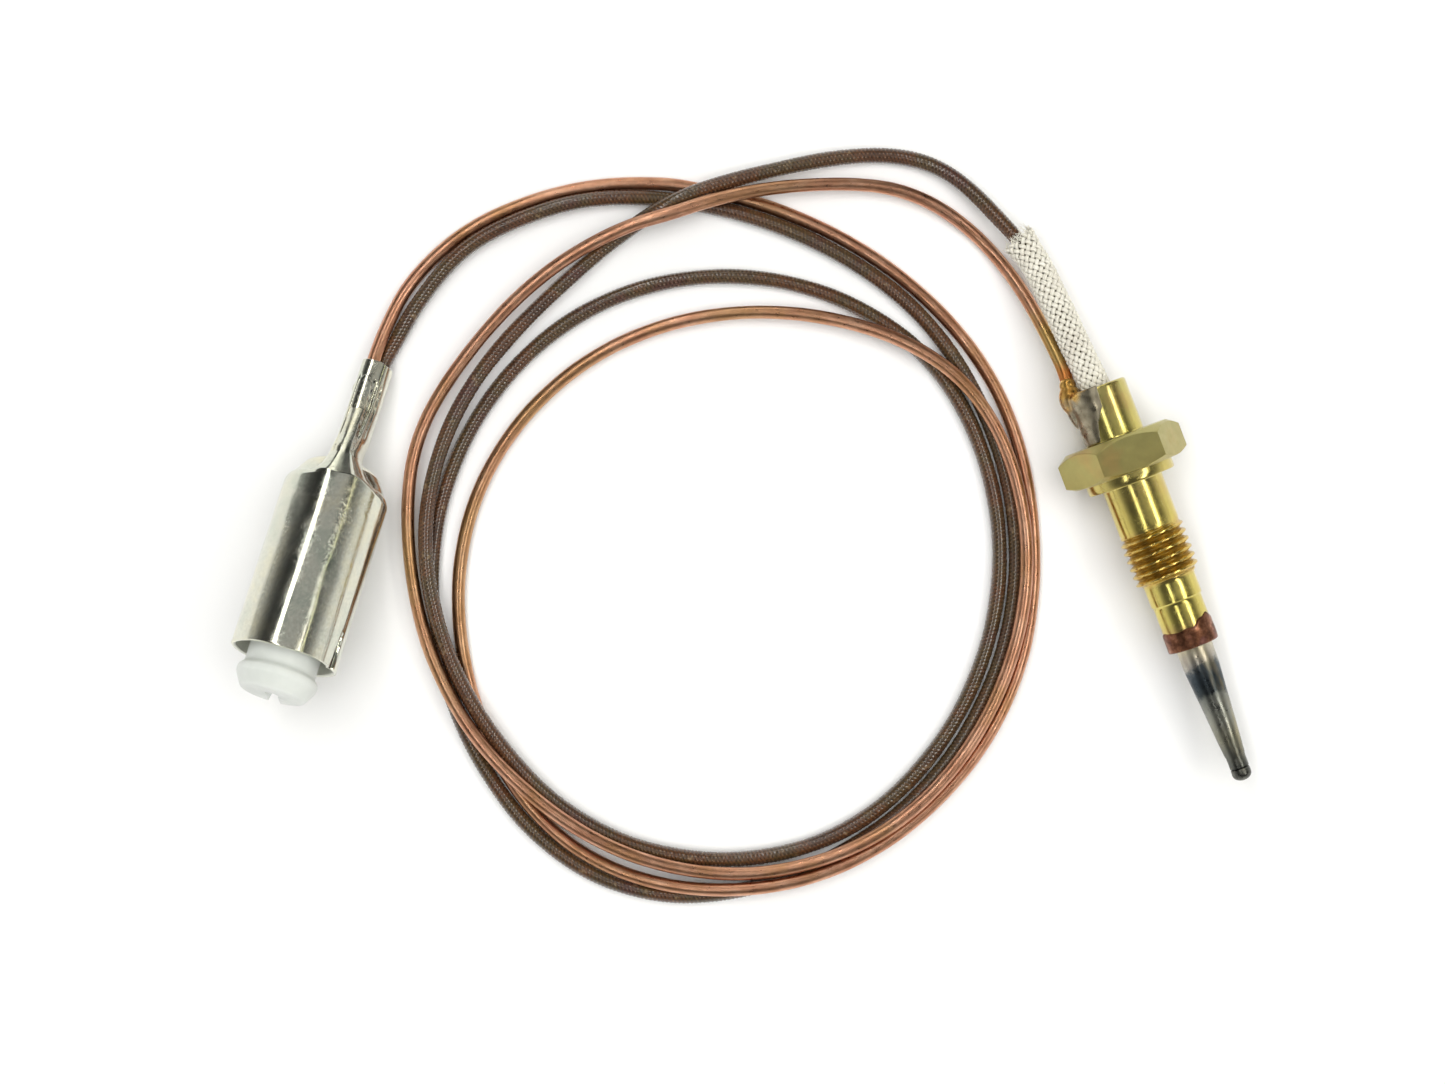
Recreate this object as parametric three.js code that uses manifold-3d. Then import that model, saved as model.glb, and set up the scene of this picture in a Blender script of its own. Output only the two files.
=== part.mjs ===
// Gas-hob thermocouple: a turned brass head with a brazed hot-junction sheath, two loose
// leads in a coil of about two and a half turns, and a coaxial push-on connector.
// Millimetres, +Z up, z = 0 is the surface that it lies on. The head lies along Y with its
// hot tip towards -Y, its hexagon flat down, and the origin under the middle of the head.
import * as THREE from 'three';
import { mergeVertices } from 'three/addons/utils/BufferGeometryUtils.js';
import Module from 'manifold-3d';

const wasm = await Module();
wasm.setup();

// ---- head, all stations measured along the axis from the mouth of the tube
const HEAD_LENGTH = 37.5;
const AXIS_Z = 5.0; // half the hexagon's 10 mm across flats
const HEX_AF = 10.0;
const HEX_START = 4.86;
const HEX_END = 8.14;
const TUBE_R = 2.65;
const TUBE_BORE_R = 1.65;
const COLLAR_R = 4.0;
const COLLAR_END = 9.07;
const SHANK_R = 2.75;
const THREAD_START = 13.5;
const THREAD_END = 18.35;
const THREAD_CREST_R = 2.95; // M6 x 0.75
const THREAD_ROOT_R = 2.52;
const THREAD_PITCH = 0.75;
const NOSE_R = 2.35;
const NOSE_STEP = 20.3;
const NOSE_TIP_R = 2.22;
const NOSE_END = 23.05;
const BODY_BORE_R = 1.2;
const SHEATH_SEAT = 20.7;
const SHEATH_SEAT_R = 1.85;
const RING_START = 23.25;
const RING_END = 24.7;
const RING_R = 2.325;
const RING_BORE_R = 1.8;
const SHEATH_START = 20.95;
const SHEATH_R = 1.62;
const SHEATH_CONE_START = 26.6;
const SHEATH_CONE_END = 35.1;
const SHEATH_NECK_R = 0.93;
const SHEATH_END = 36.25;
const SHEATH_TIP_R = 0.87;
const WELD_START = 36.4;
const WELD_R = 0.85;
const ELEMENT_R = 0.4;
const ELEMENT_START = 6.1;
const ELEMENT_END = 36.25;
const INSULATION_R = 0.78;
const INSULATION_BORE_R = 0.52;
const INSULATION_START = 6.3;
const INSULATION_END = 29.5;
const BULB = [-2.4, 18.95, 4.75];
const BULB_R = 0.95;
const FILLET_GAP = 0.1;
const FILLET_THICKNESS = 0.32;

// ---- leads
const LEAD_R = 0.7; // braid-covered constantan, 1.4 mm
const COPPER_R = 0.6; // bare copper, 1.2 mm
const SLEEVE_R = 1.35;
const SLEEVE_BORE_R = 0.95;

// ---- connector, stations measured from the end of its crimped neck towards its mouth
const CONNECTOR_AT = [-59.692, 43.565, 1.53];
const CONNECTOR_TURN = -35.98; // degrees about Z
const CONNECTOR_RISE = 17.0; // degrees, mouth end up
const SHELL_LENGTH = 28.47;
const SHELL_R = 4.75;
const SHELL_WALL = 0.3;
const SHOULDER = 12.75;
const SHOULDER_MID = 10.65;
const SHOULDER_TOP = 10.0;
const NECK_HALF = [1.375, 1.6];
const NECK_BORE_HALF = [1.155, 1.38];
const NYLON_BACK = 14.3;
const NYLON_BODY_R = 4.15;
const NYLON_BODY_END = 22.6;
const NYLON_STEM_R = 3.17;
const NYLON_END = 31.82;
const NYLON_HEAD = 2.15;
const NYLON_HEAD_R = 3.6;
const NYLON_FACE_R = 2.85;
const NYLON_BORE_R = 1.3;
const SLOT_WIDTH = 1.2;
const SLOT_DEPTH = 1.3;
const CONTACT_R = 1.0;
const CONTACT_BORE_R = 0.62;
const CONTACT_START = 13.4;
const CONTACT_END = 30.6;

// Routes of the two leads from the head to the connector. The first two points of the
// insulated lead are inside the tube of the head, and the last two of both are inside the neck.
const LEAD_ROUTE = [
  [0.00, 13.20, 5.00], [0.00, 18.75, 5.00], [-0.45, 23.27, 4.90], [-0.72, 27.71, 4.32],
  [-1.19, 32.15, 3.42], [-2.60, 36.35, 2.40], [-4.73, 40.97, 1.36], [-8.26, 44.36, 0.77],
  [-13.42, 46.35, 1.12], [-29.71, 47.85, 2.19], [-43.59, 43.60, 1.16], [-54.30, 37.24, 1.64],
  [-61.08, 27.47, 2.20], [-62.83, 16.78, 2.23], [-61.06, 6.58, 1.77], [-56.18, -2.53, 1.14],
  [-47.84, -8.78, 0.92], [-37.68, -11.04, 0.80], [-28.11, -8.81, 0.74], [-19.53, -2.71, 0.71],
  [-13.89, 5.49, 0.70], [-11.20, 16.03, 0.70], [-13.12, 27.25, 0.70], [-20.68, 36.41, 0.70],
  [-31.66, 41.29, 0.70], [-43.06, 40.98, 0.70], [-53.24, 35.79, 0.70], [-60.31, 27.44, 0.70],
  [-63.77, 17.04, 0.70], [-63.51, 5.50, 0.70], [-59.08, -4.97, 0.70], [-49.34, -11.77, 0.70],
  [-37.95, -12.84, 0.70], [-27.30, -10.12, 0.70], [-18.36, -3.71, 0.70], [-12.15, 5.34, 0.71],
  [-9.68, 16.09, 0.70], [-11.25, 28.41, 0.76], [-18.36, 39.81, 0.82], [-29.89, 48.44, 0.70],
  [-41.14, 51.31, 1.36], [-49.87, 50.14, 1.11], [-55.77, 46.52, 0.89], [-59.49, 43.22, 1.01],
  [-64.57, 36.27, 3.63]
];
const COPPER_ROUTE = [
  [-2.17, 20.48, 4.52], [-2.17, 22.92, 3.93], [-2.56, 27.88, 2.24], [-3.48, 32.32, 0.93],
  [-5.51, 36.89, 0.79], [-9.40, 41.36, 1.18], [-14.68, 44.12, 1.60], [-30.37, 46.93, 3.47],
  [-44.03, 45.41, 2.47], [-55.70, 38.84, 1.65], [-62.40, 28.57, 1.68], [-64.40, 16.73, 2.09],
  [-62.19, 5.98, 2.56], [-56.79, -2.95, 2.38], [-48.22, -9.76, 2.21], [-37.73, -12.43, 2.30],
  [-27.20, -10.57, 2.18], [-18.09, -4.50, 2.02], [-11.56, 4.84, 2.01], [-9.21, 16.50, 2.12],
  [-13.21, 27.38, 2.16], [-22.30, 34.40, 1.57], [-32.27, 37.57, 1.15], [-42.13, 37.15, 0.88],
  [-51.27, 33.09, 0.73], [-58.13, 25.86, 0.65], [-61.77, 16.59, 0.60], [-62.16, 6.11, 0.60],
  [-58.11, -4.05, 1.34], [-49.18, -11.09, 2.20], [-38.01, -13.78, 2.02], [-26.77, -11.55, 1.21],
  [-17.21, -5.15, 0.93], [-10.68, 4.82, 0.74], [-7.83, 16.53, 0.65], [-9.90, 29.25, 0.61],
  [-17.56, 40.99, 0.60], [-29.29, 49.78, 0.60], [-42.04, 52.78, 0.60], [-50.98, 51.26, 0.61],
  [-56.53, 47.79, 0.97], [-59.88, 43.95, 2.12], [-64.95, 36.97, 4.75]
];

// ---- helpers
const SIDES = 32;
const clean = (geometry) => {
  const g = geometry.clone();
  g.deleteAttribute('normal');
  g.deleteAttribute('uv');
  return mergeVertices(g, 1e-5);
};
function volume(p, ix) {
  let v = 0;
  for (let i = 0; i < ix.length; i += 3) {
    const [a, b, c] = [ix[i] * 3, ix[i + 1] * 3, ix[i + 2] * 3];
    v += p[a] * (p[b + 1] * p[c + 2] - p[b + 2] * p[c + 1])
      - p[a + 1] * (p[b] * p[c + 2] - p[b + 2] * p[c])
      + p[a + 2] * (p[b] * p[c + 1] - p[b + 1] * p[c]);
  }
  return v / 6;
}
// A closed geometry as a solid, faces outward, flat slivers at the poles dropped.
function solid(geometry) {
  const g = clean(geometry);
  const p = g.attributes.position.array;
  let ix = [];
  const s = g.index.array;
  for (let i = 0; i < s.length; i += 3) {
    if (s[i] !== s[i + 1] && s[i + 1] !== s[i + 2] && s[i] !== s[i + 2]) ix.push(s[i], s[i + 1], s[i + 2]);
  }
  if (volume(p, ix) < 0) ix = ix.map((_, i) => (i % 3 === 0 ? ix[i] : ix[i % 3 === 1 ? i + 1 : i - 1]));
  return new wasm.Manifold(new wasm.Mesh({ numProp: 3, vertProperties: new Float32Array(p), triVerts: new Uint32Array(ix) }));
}
function geometryOf(manifold) {
  const m = manifold.getMesh();
  const g = new THREE.BufferGeometry();
  g.setAttribute('position', new THREE.BufferAttribute(new Float32Array(m.vertProperties), 3));
  g.setIndex(new THREE.BufferAttribute(new Uint32Array(m.triVerts), 1));
  const out = g.toNonIndexed();
  out.computeVertexNormals();
  return out;
}
const material = (color, roughness, metalness) => new THREE.MeshStandardMaterial({ color, roughness, metalness });
function part(name, manifold, mat) {
  const mesh = new THREE.Mesh(geometryOf(manifold), mat);
  mesh.name = name;
  return mesh;
}
// A turned solid: [radius, station] pairs, with the station running towards -Y.
const turned = (profile, zero, sides = SIDES) => {
  const points = profile.map(([r, s]) => new THREE.Vector2(r, zero - s));
  if (profile[0][0] !== 0) points.push(points[0].clone());
  return solid(new THREE.LatheGeometry(points, sides));
};
// A flat outline in X and Z, drawn out along Y from station a to station b.
function prism(shape, zero, a, b) {
  const g = new THREE.ExtrudeGeometry(shape, { depth: b - a, bevelEnabled: false, curveSegments: 6 });
  g.rotateX(Math.PI / 2); // the outline's Y becomes Z, and the depth runs towards -Y
  g.translate(0, zero - a, 0);
  return solid(g);
}
function circle(r, n, hole = 0) {
  const ring = (q) => Array.from({ length: n }, (_, i) => new THREE.Vector2(q * Math.cos((i + 0.5) * 2 * Math.PI / n), q * Math.sin((i + 0.5) * 2 * Math.PI / n)));
  const shape = new THREE.Shape(ring(r));
  if (hole) shape.holes.push(new THREE.Path(ring(hole)));
  return shape;
}
function rounded([hx, hy], corner, n = 4) {
  const pts = [];
  for (const [sx, sy, start] of [[1, 1, 0], [-1, 1, 90], [-1, -1, 180], [1, -1, 270]]) {
    for (let i = 0; i <= n; i++) {
      const a = THREE.MathUtils.degToRad(start + (90 * i) / n);
      pts.push(new THREE.Vector2(sx * (hx - corner) + corner * Math.cos(a), sy * (hy - corner) + corner * Math.sin(a)));
    }
  }
  return new THREE.Shape(pts);
}
// A path through given points, one step to each.
class Route extends THREE.Curve {
  constructor(points) {
    super();
    this.points = points.map((p) => new THREE.Vector3(...p));
  }
  getPoint(t) {
    const n = this.points.length - 1;
    const i = Math.min(Math.floor(t * n), n - 1);
    return this.points[i].clone().lerp(this.points[i + 1], t * n - i);
  }
  getPointAt(u) { return this.getPoint(u); }
  getSpacedPoints(n) { return Array.from({ length: n + 1 }, (_, i) => this.getPoint(i / n)); }
  getTangentAt(u) {
    const n = this.points.length - 1;
    const i = Math.round(u * n);
    const a = this.points[Math.max(i - 1, 0)];
    const b = this.points[i];
    const c = this.points[Math.min(i + 1, n)];
    const t = new THREE.Vector3();
    if (i > 0) t.add(b.clone().sub(a).normalize());
    if (i < n) t.add(c.clone().sub(b).normalize());
    return t.normalize();
  }
}
function tube(points, r, sides = 8, hole = 0) {
  const path = new Route(points);
  return solid(new THREE.ExtrudeGeometry(circle(r, sides, hole), { steps: points.length - 1, extrudePath: path, bevelEnabled: false }));
}

const head = new THREE.Group();
head.position.set(0, HEAD_LENGTH / 2, AXIS_Z);

// ---- brass body
const hexagon = new THREE.Shape(Array.from({ length: 6 }, (_, i) => {
  const a = (i * Math.PI) / 3;
  return new THREE.Vector2((HEX_AF / Math.sqrt(3)) * Math.cos(a), (HEX_AF / Math.sqrt(3)) * Math.sin(a));
}));
const hexBlock = prism(hexagon, 0, HEX_START, HEX_END);
const chamfer = turned([[0, HEX_START - 0.5], [4.35, HEX_START - 0.5], [4.75, HEX_START], [6.1, HEX_START + 0.8], [6.1, HEX_END + 0.5], [0, HEX_END + 0.5]], 0, 48);
const hex = hexBlock.intersect(chamfer);
const barrel = turned([
  [0, 0], [TUBE_R, 0], [TUBE_R, HEX_START + 0.4], [COLLAR_R, HEX_START + 0.4], [COLLAR_R, COLLAR_END], [SHANK_R, COLLAR_END], [SHANK_R, THREAD_START],
  [THREAD_ROOT_R, THREAD_START + 0.25], [THREAD_ROOT_R, THREAD_END - 0.1], [NOSE_R, THREAD_END], [NOSE_R, NOSE_STEP], [NOSE_TIP_R, NOSE_STEP + 0.2], [NOSE_TIP_R, NOSE_END], [0, NOSE_END],
], 0);
// The thread is a V section drawn along a helix, with its frame kept radial.
class Helix extends THREE.Curve {
  constructor(r, start, end, pitch) {
    super();
    Object.assign(this, { r, start, end, pitch, turns: (end - start) / pitch });
  }
  getPoint(t) {
    const a = t * this.turns * 2 * Math.PI;
    return new THREE.Vector3(this.r * Math.cos(a), -(this.start + t * (this.end - this.start)), this.r * Math.sin(a));
  }
  getPointAt(u) { return this.getPoint(u); }
  getSpacedPoints(n) { return Array.from({ length: n + 1 }, (_, i) => this.getPoint(i / n)); }
  computeFrenetFrames(n) {
    const tangents = [];
    const normals = [];
    const binormals = [];
    for (let i = 0; i <= n; i++) {
      const a = (i / n) * this.turns * 2 * Math.PI;
      const rise = -this.pitch / (2 * Math.PI * this.r);
      const tangent = new THREE.Vector3(-Math.sin(a), rise, Math.cos(a)).normalize();
      const normal = new THREE.Vector3(Math.cos(a), 0, Math.sin(a));
      tangents.push(tangent);
      normals.push(normal);
      binormals.push(new THREE.Vector3().crossVectors(tangent, normal));
    }
    return { tangents, normals, binormals };
  }
}
const ridge = new THREE.Shape([
  new THREE.Vector2(-0.12, -0.3), new THREE.Vector2(THREAD_CREST_R - THREAD_ROOT_R, -0.06),
  new THREE.Vector2(THREAD_CREST_R - THREAD_ROOT_R, 0.06), new THREE.Vector2(-0.12, 0.3),
]);
const helix = new Helix(THREAD_ROOT_R, THREAD_START + 0.35, THREAD_END - 0.35, THREAD_PITCH);
const thread = solid(new THREE.ExtrudeGeometry(ridge, { steps: Math.round(helix.turns * 20), extrudePath: helix, bevelEnabled: false }));
const bores = turned([[0, -1], [TUBE_BORE_R, -1], [TUBE_BORE_R, 5.4], [BODY_BORE_R, 5.9], [BODY_BORE_R, SHEATH_SEAT], [SHEATH_SEAT_R, SHEATH_SEAT], [SHEATH_SEAT_R, NOSE_END + 1], [0, NOSE_END + 1]], 0, 24);
const notchBox = new THREE.BoxGeometry(2.9, 3.2, 2.5);
notchBox.translate(-2.7, 0.3, -0.25);
const brass = hex.add(barrel).add(thread).subtract(bores).subtract(solid(notchBox));
head.add(part('brass_body', brass, material(0xb6a047, 0.32, 1.0)));

// ---- what is brazed, welded and soldered to it
head.add(part('braze_ring', turned([[RING_BORE_R, RING_START], [RING_R, RING_START], [RING_R, RING_END - 0.15], [RING_R - 0.15, RING_END], [RING_BORE_R, RING_END]], 0), material(0x8a5340, 0.42, 1.0)));
head.add(part('hot_junction_sheath', turned([
  [1.05, SHEATH_START], [SHEATH_R, SHEATH_START], [SHEATH_R, SHEATH_CONE_START], [SHEATH_NECK_R, SHEATH_CONE_END], [SHEATH_TIP_R, SHEATH_CONE_END + 0.4], [SHEATH_TIP_R, SHEATH_END],
  [0.52, SHEATH_END], [0.52, SHEATH_CONE_END - 1], [1.05, SHEATH_CONE_START + 2],
], 0), material(0x7b7a72, 0.4, 1.0)));
const dome = [[0, WELD_START], [WELD_R, WELD_START]];
for (let i = 0; i <= 5; i++) {
  const a = (i * Math.PI) / 10;
  dome.push([i === 5 ? 0 : WELD_R * Math.cos(a), HEAD_LENGTH - 0.6 + 0.6 * Math.sin(a)]);
}
head.add(part('junction_weld', turned(dome, 0, 24), material(0x6c6a64, 0.4, 1.0)));
head.add(part('constantan_element', turned([[0, ELEMENT_START], [ELEMENT_R, ELEMENT_START], [ELEMENT_R, ELEMENT_END], [0, ELEMENT_END]], 0, 12), material(0x9a948a, 0.35, 1.0)));
head.add(part('element_insulation', turned([[INSULATION_BORE_R, INSULATION_START], [INSULATION_R, INSULATION_START], [INSULATION_R, INSULATION_END], [INSULATION_BORE_R, INSULATION_END]], 0, 16), material(0xd9d3bd, 0.9, 0.0)));
const fillet = new THREE.Shape();
const filletIn = TUBE_R + FILLET_GAP;
const filletOut = filletIn + FILLET_THICKNESS;
const arc = (r, from, to, n) => Array.from({ length: n + 1 }, (_, i) => {
  const a = THREE.MathUtils.degToRad(from + ((to - from) * i) / n);
  return new THREE.Vector2(r * Math.cos(a), r * Math.sin(a));
});
fillet.setFromPoints([...arc(filletIn, 106, 184, 7), ...arc(filletOut, 184, 106, 7)]);
head.add(part('solder_fillet', prism(fillet, 0, 1.75, HEX_START - 0.15), material(0x9b9a8c, 0.38, 1.0)));

const world = new THREE.Group();
world.name = 'thermocouple';
world.add(head);

const bulb = new THREE.SphereGeometry(BULB_R, 16, 10);
bulb.scale(1, 1.0, 1.05);
bulb.translate(...BULB);
world.add(part('lead_solder_bulb', solid(bulb), material(0xb08a3c, 0.3, 1.0)));

// ---- leads
world.add(part('copper_return_lead', tube(COPPER_ROUTE, COPPER_R), material(0xb87a55, 0.3, 1.0)));
world.add(part('insulated_lead', tube(LEAD_ROUTE, LEAD_R), material(0x4d3a2c, 0.5, 0.0)));
world.add(part('fibreglass_sleeve', tube([[0, 15.2, 5], ...LEAD_ROUTE.slice(1, 5)], SLEEVE_R, 14, SLEEVE_BORE_R), material(0xd8d5c6, 0.85, 0.0)));

// ---- connector
const connector = new THREE.Group();
connector.position.set(...CONNECTOR_AT);
connector.rotation.set(THREE.MathUtils.degToRad(-CONNECTOR_RISE), 0, THREE.MathUtils.degToRad(CONNECTOR_TURN), 'ZXY');
const inner = SHELL_R - SHELL_WALL;
const can = turned([
  [0, SHOULDER_TOP], [2.4, SHOULDER_TOP], [3.42, SHOULDER_MID], [SHELL_R, SHOULDER], [SHELL_R, SHELL_LENGTH], [inner, SHELL_LENGTH],
  [inner, SHOULDER + 0.15], [3.2, SHOULDER_MID + 0.35], [2.3, SHOULDER_TOP + 0.4], [0, SHOULDER_TOP + 0.4],
], 0, 40);
const neck = prism(rounded(NECK_HALF, 1.12), 0, 0, SHOULDER_TOP + 0.2);
const neckBore = prism(rounded(NECK_BORE_HALF, 0.9), 0, -1, SHOULDER_TOP + 1);
connector.add(part('connector_shell', can.add(neck).subtract(neckBore), material(0xb9bab2, 0.18, 1.0)));

const nylonLathe = turned([
  [NYLON_BORE_R, NYLON_BACK], [NYLON_BODY_R, NYLON_BACK], [NYLON_BODY_R, NYLON_BODY_END], [NYLON_STEM_R, NYLON_BODY_END + 0.4], [NYLON_STEM_R, NYLON_END - NYLON_HEAD],
  [NYLON_HEAD_R, NYLON_END - 1.75], [NYLON_HEAD_R - 0.05, NYLON_END - 1.2], [NYLON_FACE_R, NYLON_END], [NYLON_BORE_R, NYLON_END],
], 0);
const slotBox = new THREE.BoxGeometry(SLOT_WIDTH, SLOT_DEPTH * 2, 10);
slotBox.translate(0, -NYLON_END, 0);
connector.add(part('nylon_insulator', nylonLathe.subtract(solid(slotBox)), material(0xe3e6e2, 0.45, 0.0)));
connector.add(part('centre_contact', turned([[CONTACT_BORE_R, CONTACT_START], [CONTACT_R, CONTACT_START], [CONTACT_R, CONTACT_END], [CONTACT_BORE_R, CONTACT_END]], 0, 20), material(0xb9a35a, 0.3, 1.0)));
connector.add(part('lead_core_end', tube([[0.34, -9.1, -0.56], [0.34, -10.2, -0.56], [0.12, -11.6, -0.2], [0, -12.8, 0], [0, -17.5, 0]], ELEMENT_R), material(0x9a948a, 0.35, 1.0)));
world.add(connector);

export default world;
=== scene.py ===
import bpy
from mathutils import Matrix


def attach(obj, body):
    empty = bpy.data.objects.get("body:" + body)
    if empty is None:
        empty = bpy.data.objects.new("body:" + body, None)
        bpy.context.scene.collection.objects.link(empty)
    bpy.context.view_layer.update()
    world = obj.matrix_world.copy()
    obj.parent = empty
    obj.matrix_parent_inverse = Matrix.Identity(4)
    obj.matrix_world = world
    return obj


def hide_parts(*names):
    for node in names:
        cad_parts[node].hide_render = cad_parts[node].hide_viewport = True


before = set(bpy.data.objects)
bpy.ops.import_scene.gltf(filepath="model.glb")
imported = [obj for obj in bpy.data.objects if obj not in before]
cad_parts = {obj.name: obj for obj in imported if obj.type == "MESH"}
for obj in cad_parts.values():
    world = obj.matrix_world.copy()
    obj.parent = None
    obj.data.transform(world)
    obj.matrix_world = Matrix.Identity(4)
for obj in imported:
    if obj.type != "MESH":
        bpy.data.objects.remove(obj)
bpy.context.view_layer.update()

import math

import bmesh
import bpy
import numpy as np
from mathutils import Matrix, Vector

# Gas-hob thermocouple, in the row frame. All sizes below are millimetres; MM turns them into metres.
MM = 0.001
RNG = np.random.default_rng(7)

# ---------------------------------------------------------------- camera
scene = bpy.context.scene
cam_data = bpy.data.cameras.new("camera")
cam_data.sensor_width = 36.0
cam_data.lens = 36.0 * 2656.0 / 1445.0
cam_data.clip_start, cam_data.clip_end = 0.01, 20.0
cam = bpy.data.objects.new("camera", cam_data)
cam.location = (-0.036118, 0.017555, 0.2422)
cam.rotation_euler = (0.0, 0.0, math.radians(-20.66))
scene.collection.objects.link(cam)
scene.camera = cam

# ---------------------------------------------------------------- sizes shared with part.mjs
HEAD_L, AXIS_Z = 37.5, 5.0
LEAD_R, COPPER_R, SLEEVE_R = 0.7, 0.6, 1.35
CONNECTOR_AT = np.array([-59.692, 43.565, 1.53])
_t, _r = math.radians(-35.98), math.radians(17.0)
EX = np.array([math.cos(_t), math.sin(_t), 0.0])
AX = np.array([math.sin(_t) * math.cos(_r), -math.cos(_t) * math.cos(_r), math.sin(_r)])
EN = np.array([-math.sin(_t) * math.sin(_r), math.cos(_t) * math.sin(_r), math.cos(_r)])


def head_point(s, r, phi, cx=0.0, cz=0.0):
    """Station s from the tube's mouth towards the tip, radius r, angle phi from +X towards +Z."""
    s, r, phi = np.broadcast_arrays(s, r, phi)
    return np.stack([cx + r * np.cos(phi), HEAD_L / 2 - s, AXIS_Z + cz + r * np.sin(phi)], -1)


def plug_point(s, r, phi):
    s, r, phi = np.broadcast_arrays(s, r, phi)
    return CONNECTOR_AT + (r * np.cos(phi))[..., None] * EX + s[..., None] * AX + (r * np.sin(phi))[..., None] * EN


def smoothstep(a, b, x):
    t = np.clip((x - a) / (b - a), 0.0, 1.0)
    return t * t * (3 - 2 * t)


def wobble(seed, n_terms, *coords):
    """A smooth repeatable field of sines, about -1 to 1, over coordinates already scaled to its period."""
    g = np.random.default_rng(seed)
    out = 0.0
    for _ in range(n_terms):
        w = g.normal(size=len(coords)) * 2.2
        out = out + np.sin(sum(k * c for k, c in zip(w, coords)) + g.uniform(0, 6.28))
    return out / math.sqrt(n_terms) * 0.8


# ---------------------------------------------------------------- mesh building
def build_mesh(name, verts, faces, uvs, sharp=32.0, attrs=None):
    """verts (n, 3) in mm, faces a list of integer arrays (k, 3) or (k, 4), uvs the same with 2 per corner."""
    me = bpy.data.meshes.new(name)
    me.vertices.add(len(verts))
    me.vertices.foreach_set("co", (np.asarray(verts, float) * MM).ravel())
    corners = np.concatenate([f.ravel() for f in faces])
    starts, at = [], 0
    for f in faces:
        starts.append(at + np.arange(len(f)) * f.shape[1])
        at += f.size
    starts = np.concatenate(starts)
    me.loops.add(len(corners))
    me.loops.foreach_set("vertex_index", corners.astype(np.int32))
    me.polygons.add(len(starts))
    me.polygons.foreach_set("loop_start", starts.astype(np.int32))
    me.update(calc_edges=True)
    me.validate()
    layer = me.uv_layers.new(name="UVMap")
    flat = np.concatenate([u.reshape(-1, 2) for u in uvs])
    if len(flat) == len(me.loops):
        layer.data.foreach_set("uv", flat.astype(np.float32).ravel())
    for key, values in (attrs or {}).items():
        a = me.attributes.new(key, "FLOAT", "POINT")
        a.data.foreach_set("value", np.asarray(values, np.float32).ravel())
    me.polygons.foreach_set("use_smooth", np.ones(len(me.polygons), bool))
    me.set_sharp_from_angle(angle=math.radians(sharp))
    ob = bpy.data.objects.new(name, me)
    scene.collection.objects.link(ob)
    return ob


def outward(ob):
    bm = bmesh.new()
    bm.from_mesh(ob.data)
    bmesh.ops.recalc_face_normals(bm, faces=bm.faces)
    bm.to_mesh(ob.data)
    bm.free()
    return ob


def grid_arrays(V, cap0=True, cap1=True, u_size=1.0, v=None, base=0):
    """A grid of rings (n, m, 3), closed round each ring, with its ends closed by fans."""
    n, m, _ = V.shape
    v = np.arange(n) if v is None else np.asarray(v, float)
    i, j = np.meshgrid(np.arange(n - 1), np.arange(m), indexing="ij")
    j2 = (j + 1) % m
    quads = np.stack([i * m + j, i * m + j2, (i + 1) * m + j2, (i + 1) * m + j], -1).reshape(-1, 4) + base
    u0, u1 = j / m * u_size, (j + 1) / m * u_size
    uv = np.stack([np.stack([u0, v[i]], -1), np.stack([u1, v[i]], -1), np.stack([u1, v[i + 1]], -1), np.stack([u0, v[i + 1]], -1)], 2)
    verts = [V.reshape(-1, 3)]
    faces, uvs = [quads], [uv.reshape(-1, 2)]
    k = n * m
    jj = np.arange(m)
    for on, row, flip in ((cap0, 0, False), (cap1, n - 1, True)):
        if on:
            verts.append(V[row].mean(0)[None])
            a, b = row * m + jj, row * m + (jj + 1) % m
            tri = np.stack([np.full(m, k), b, a] if not flip else [np.full(m, k), a, b], -1) + base
            faces.append(tri)
            uvs.append(np.tile([[0.5, v[row]]], (3 * m, 1)))
            k += 1
    return np.concatenate(verts), faces, uvs


def grid_object(name, V, cap0=True, cap1=True, u_size=1.0, v=None, sharp=32.0, attrs=None):
    verts, faces, uvs = grid_arrays(V, cap0, cap1, u_size, v)
    if attrs:
        extra = len(verts) - V.shape[0] * V.shape[1]
        attrs = {k: np.concatenate([np.asarray(a, float).ravel(), np.zeros(extra)]) for k, a in attrs.items()}
    return outward(build_mesh(name, verts, faces, uvs, sharp, attrs))


def many_objects(name, grids, sharp=60.0):
    """Several closed grids in one mesh."""
    V, F, U, at = [], [], [], 0
    for G, v in grids:
        verts, faces, uvs = grid_arrays(G, True, True, 1.0, v, at)
        V.append(verts)
        F += faces
        U += uvs
        at += len(verts)
    quads = [(f, u) for f, u in zip(F, U) if f.shape[1] == 4]
    tris = [(f, u) for f, u in zip(F, U) if f.shape[1] == 3]
    faces = [np.concatenate([f for f, _ in quads]), np.concatenate([f for f, _ in tris])]
    uvs = [np.concatenate([u for _, u in quads]), np.concatenate([u for _, u in tris])]
    return outward(build_mesh(name, np.concatenate(V), faces, uvs, sharp))


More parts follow.
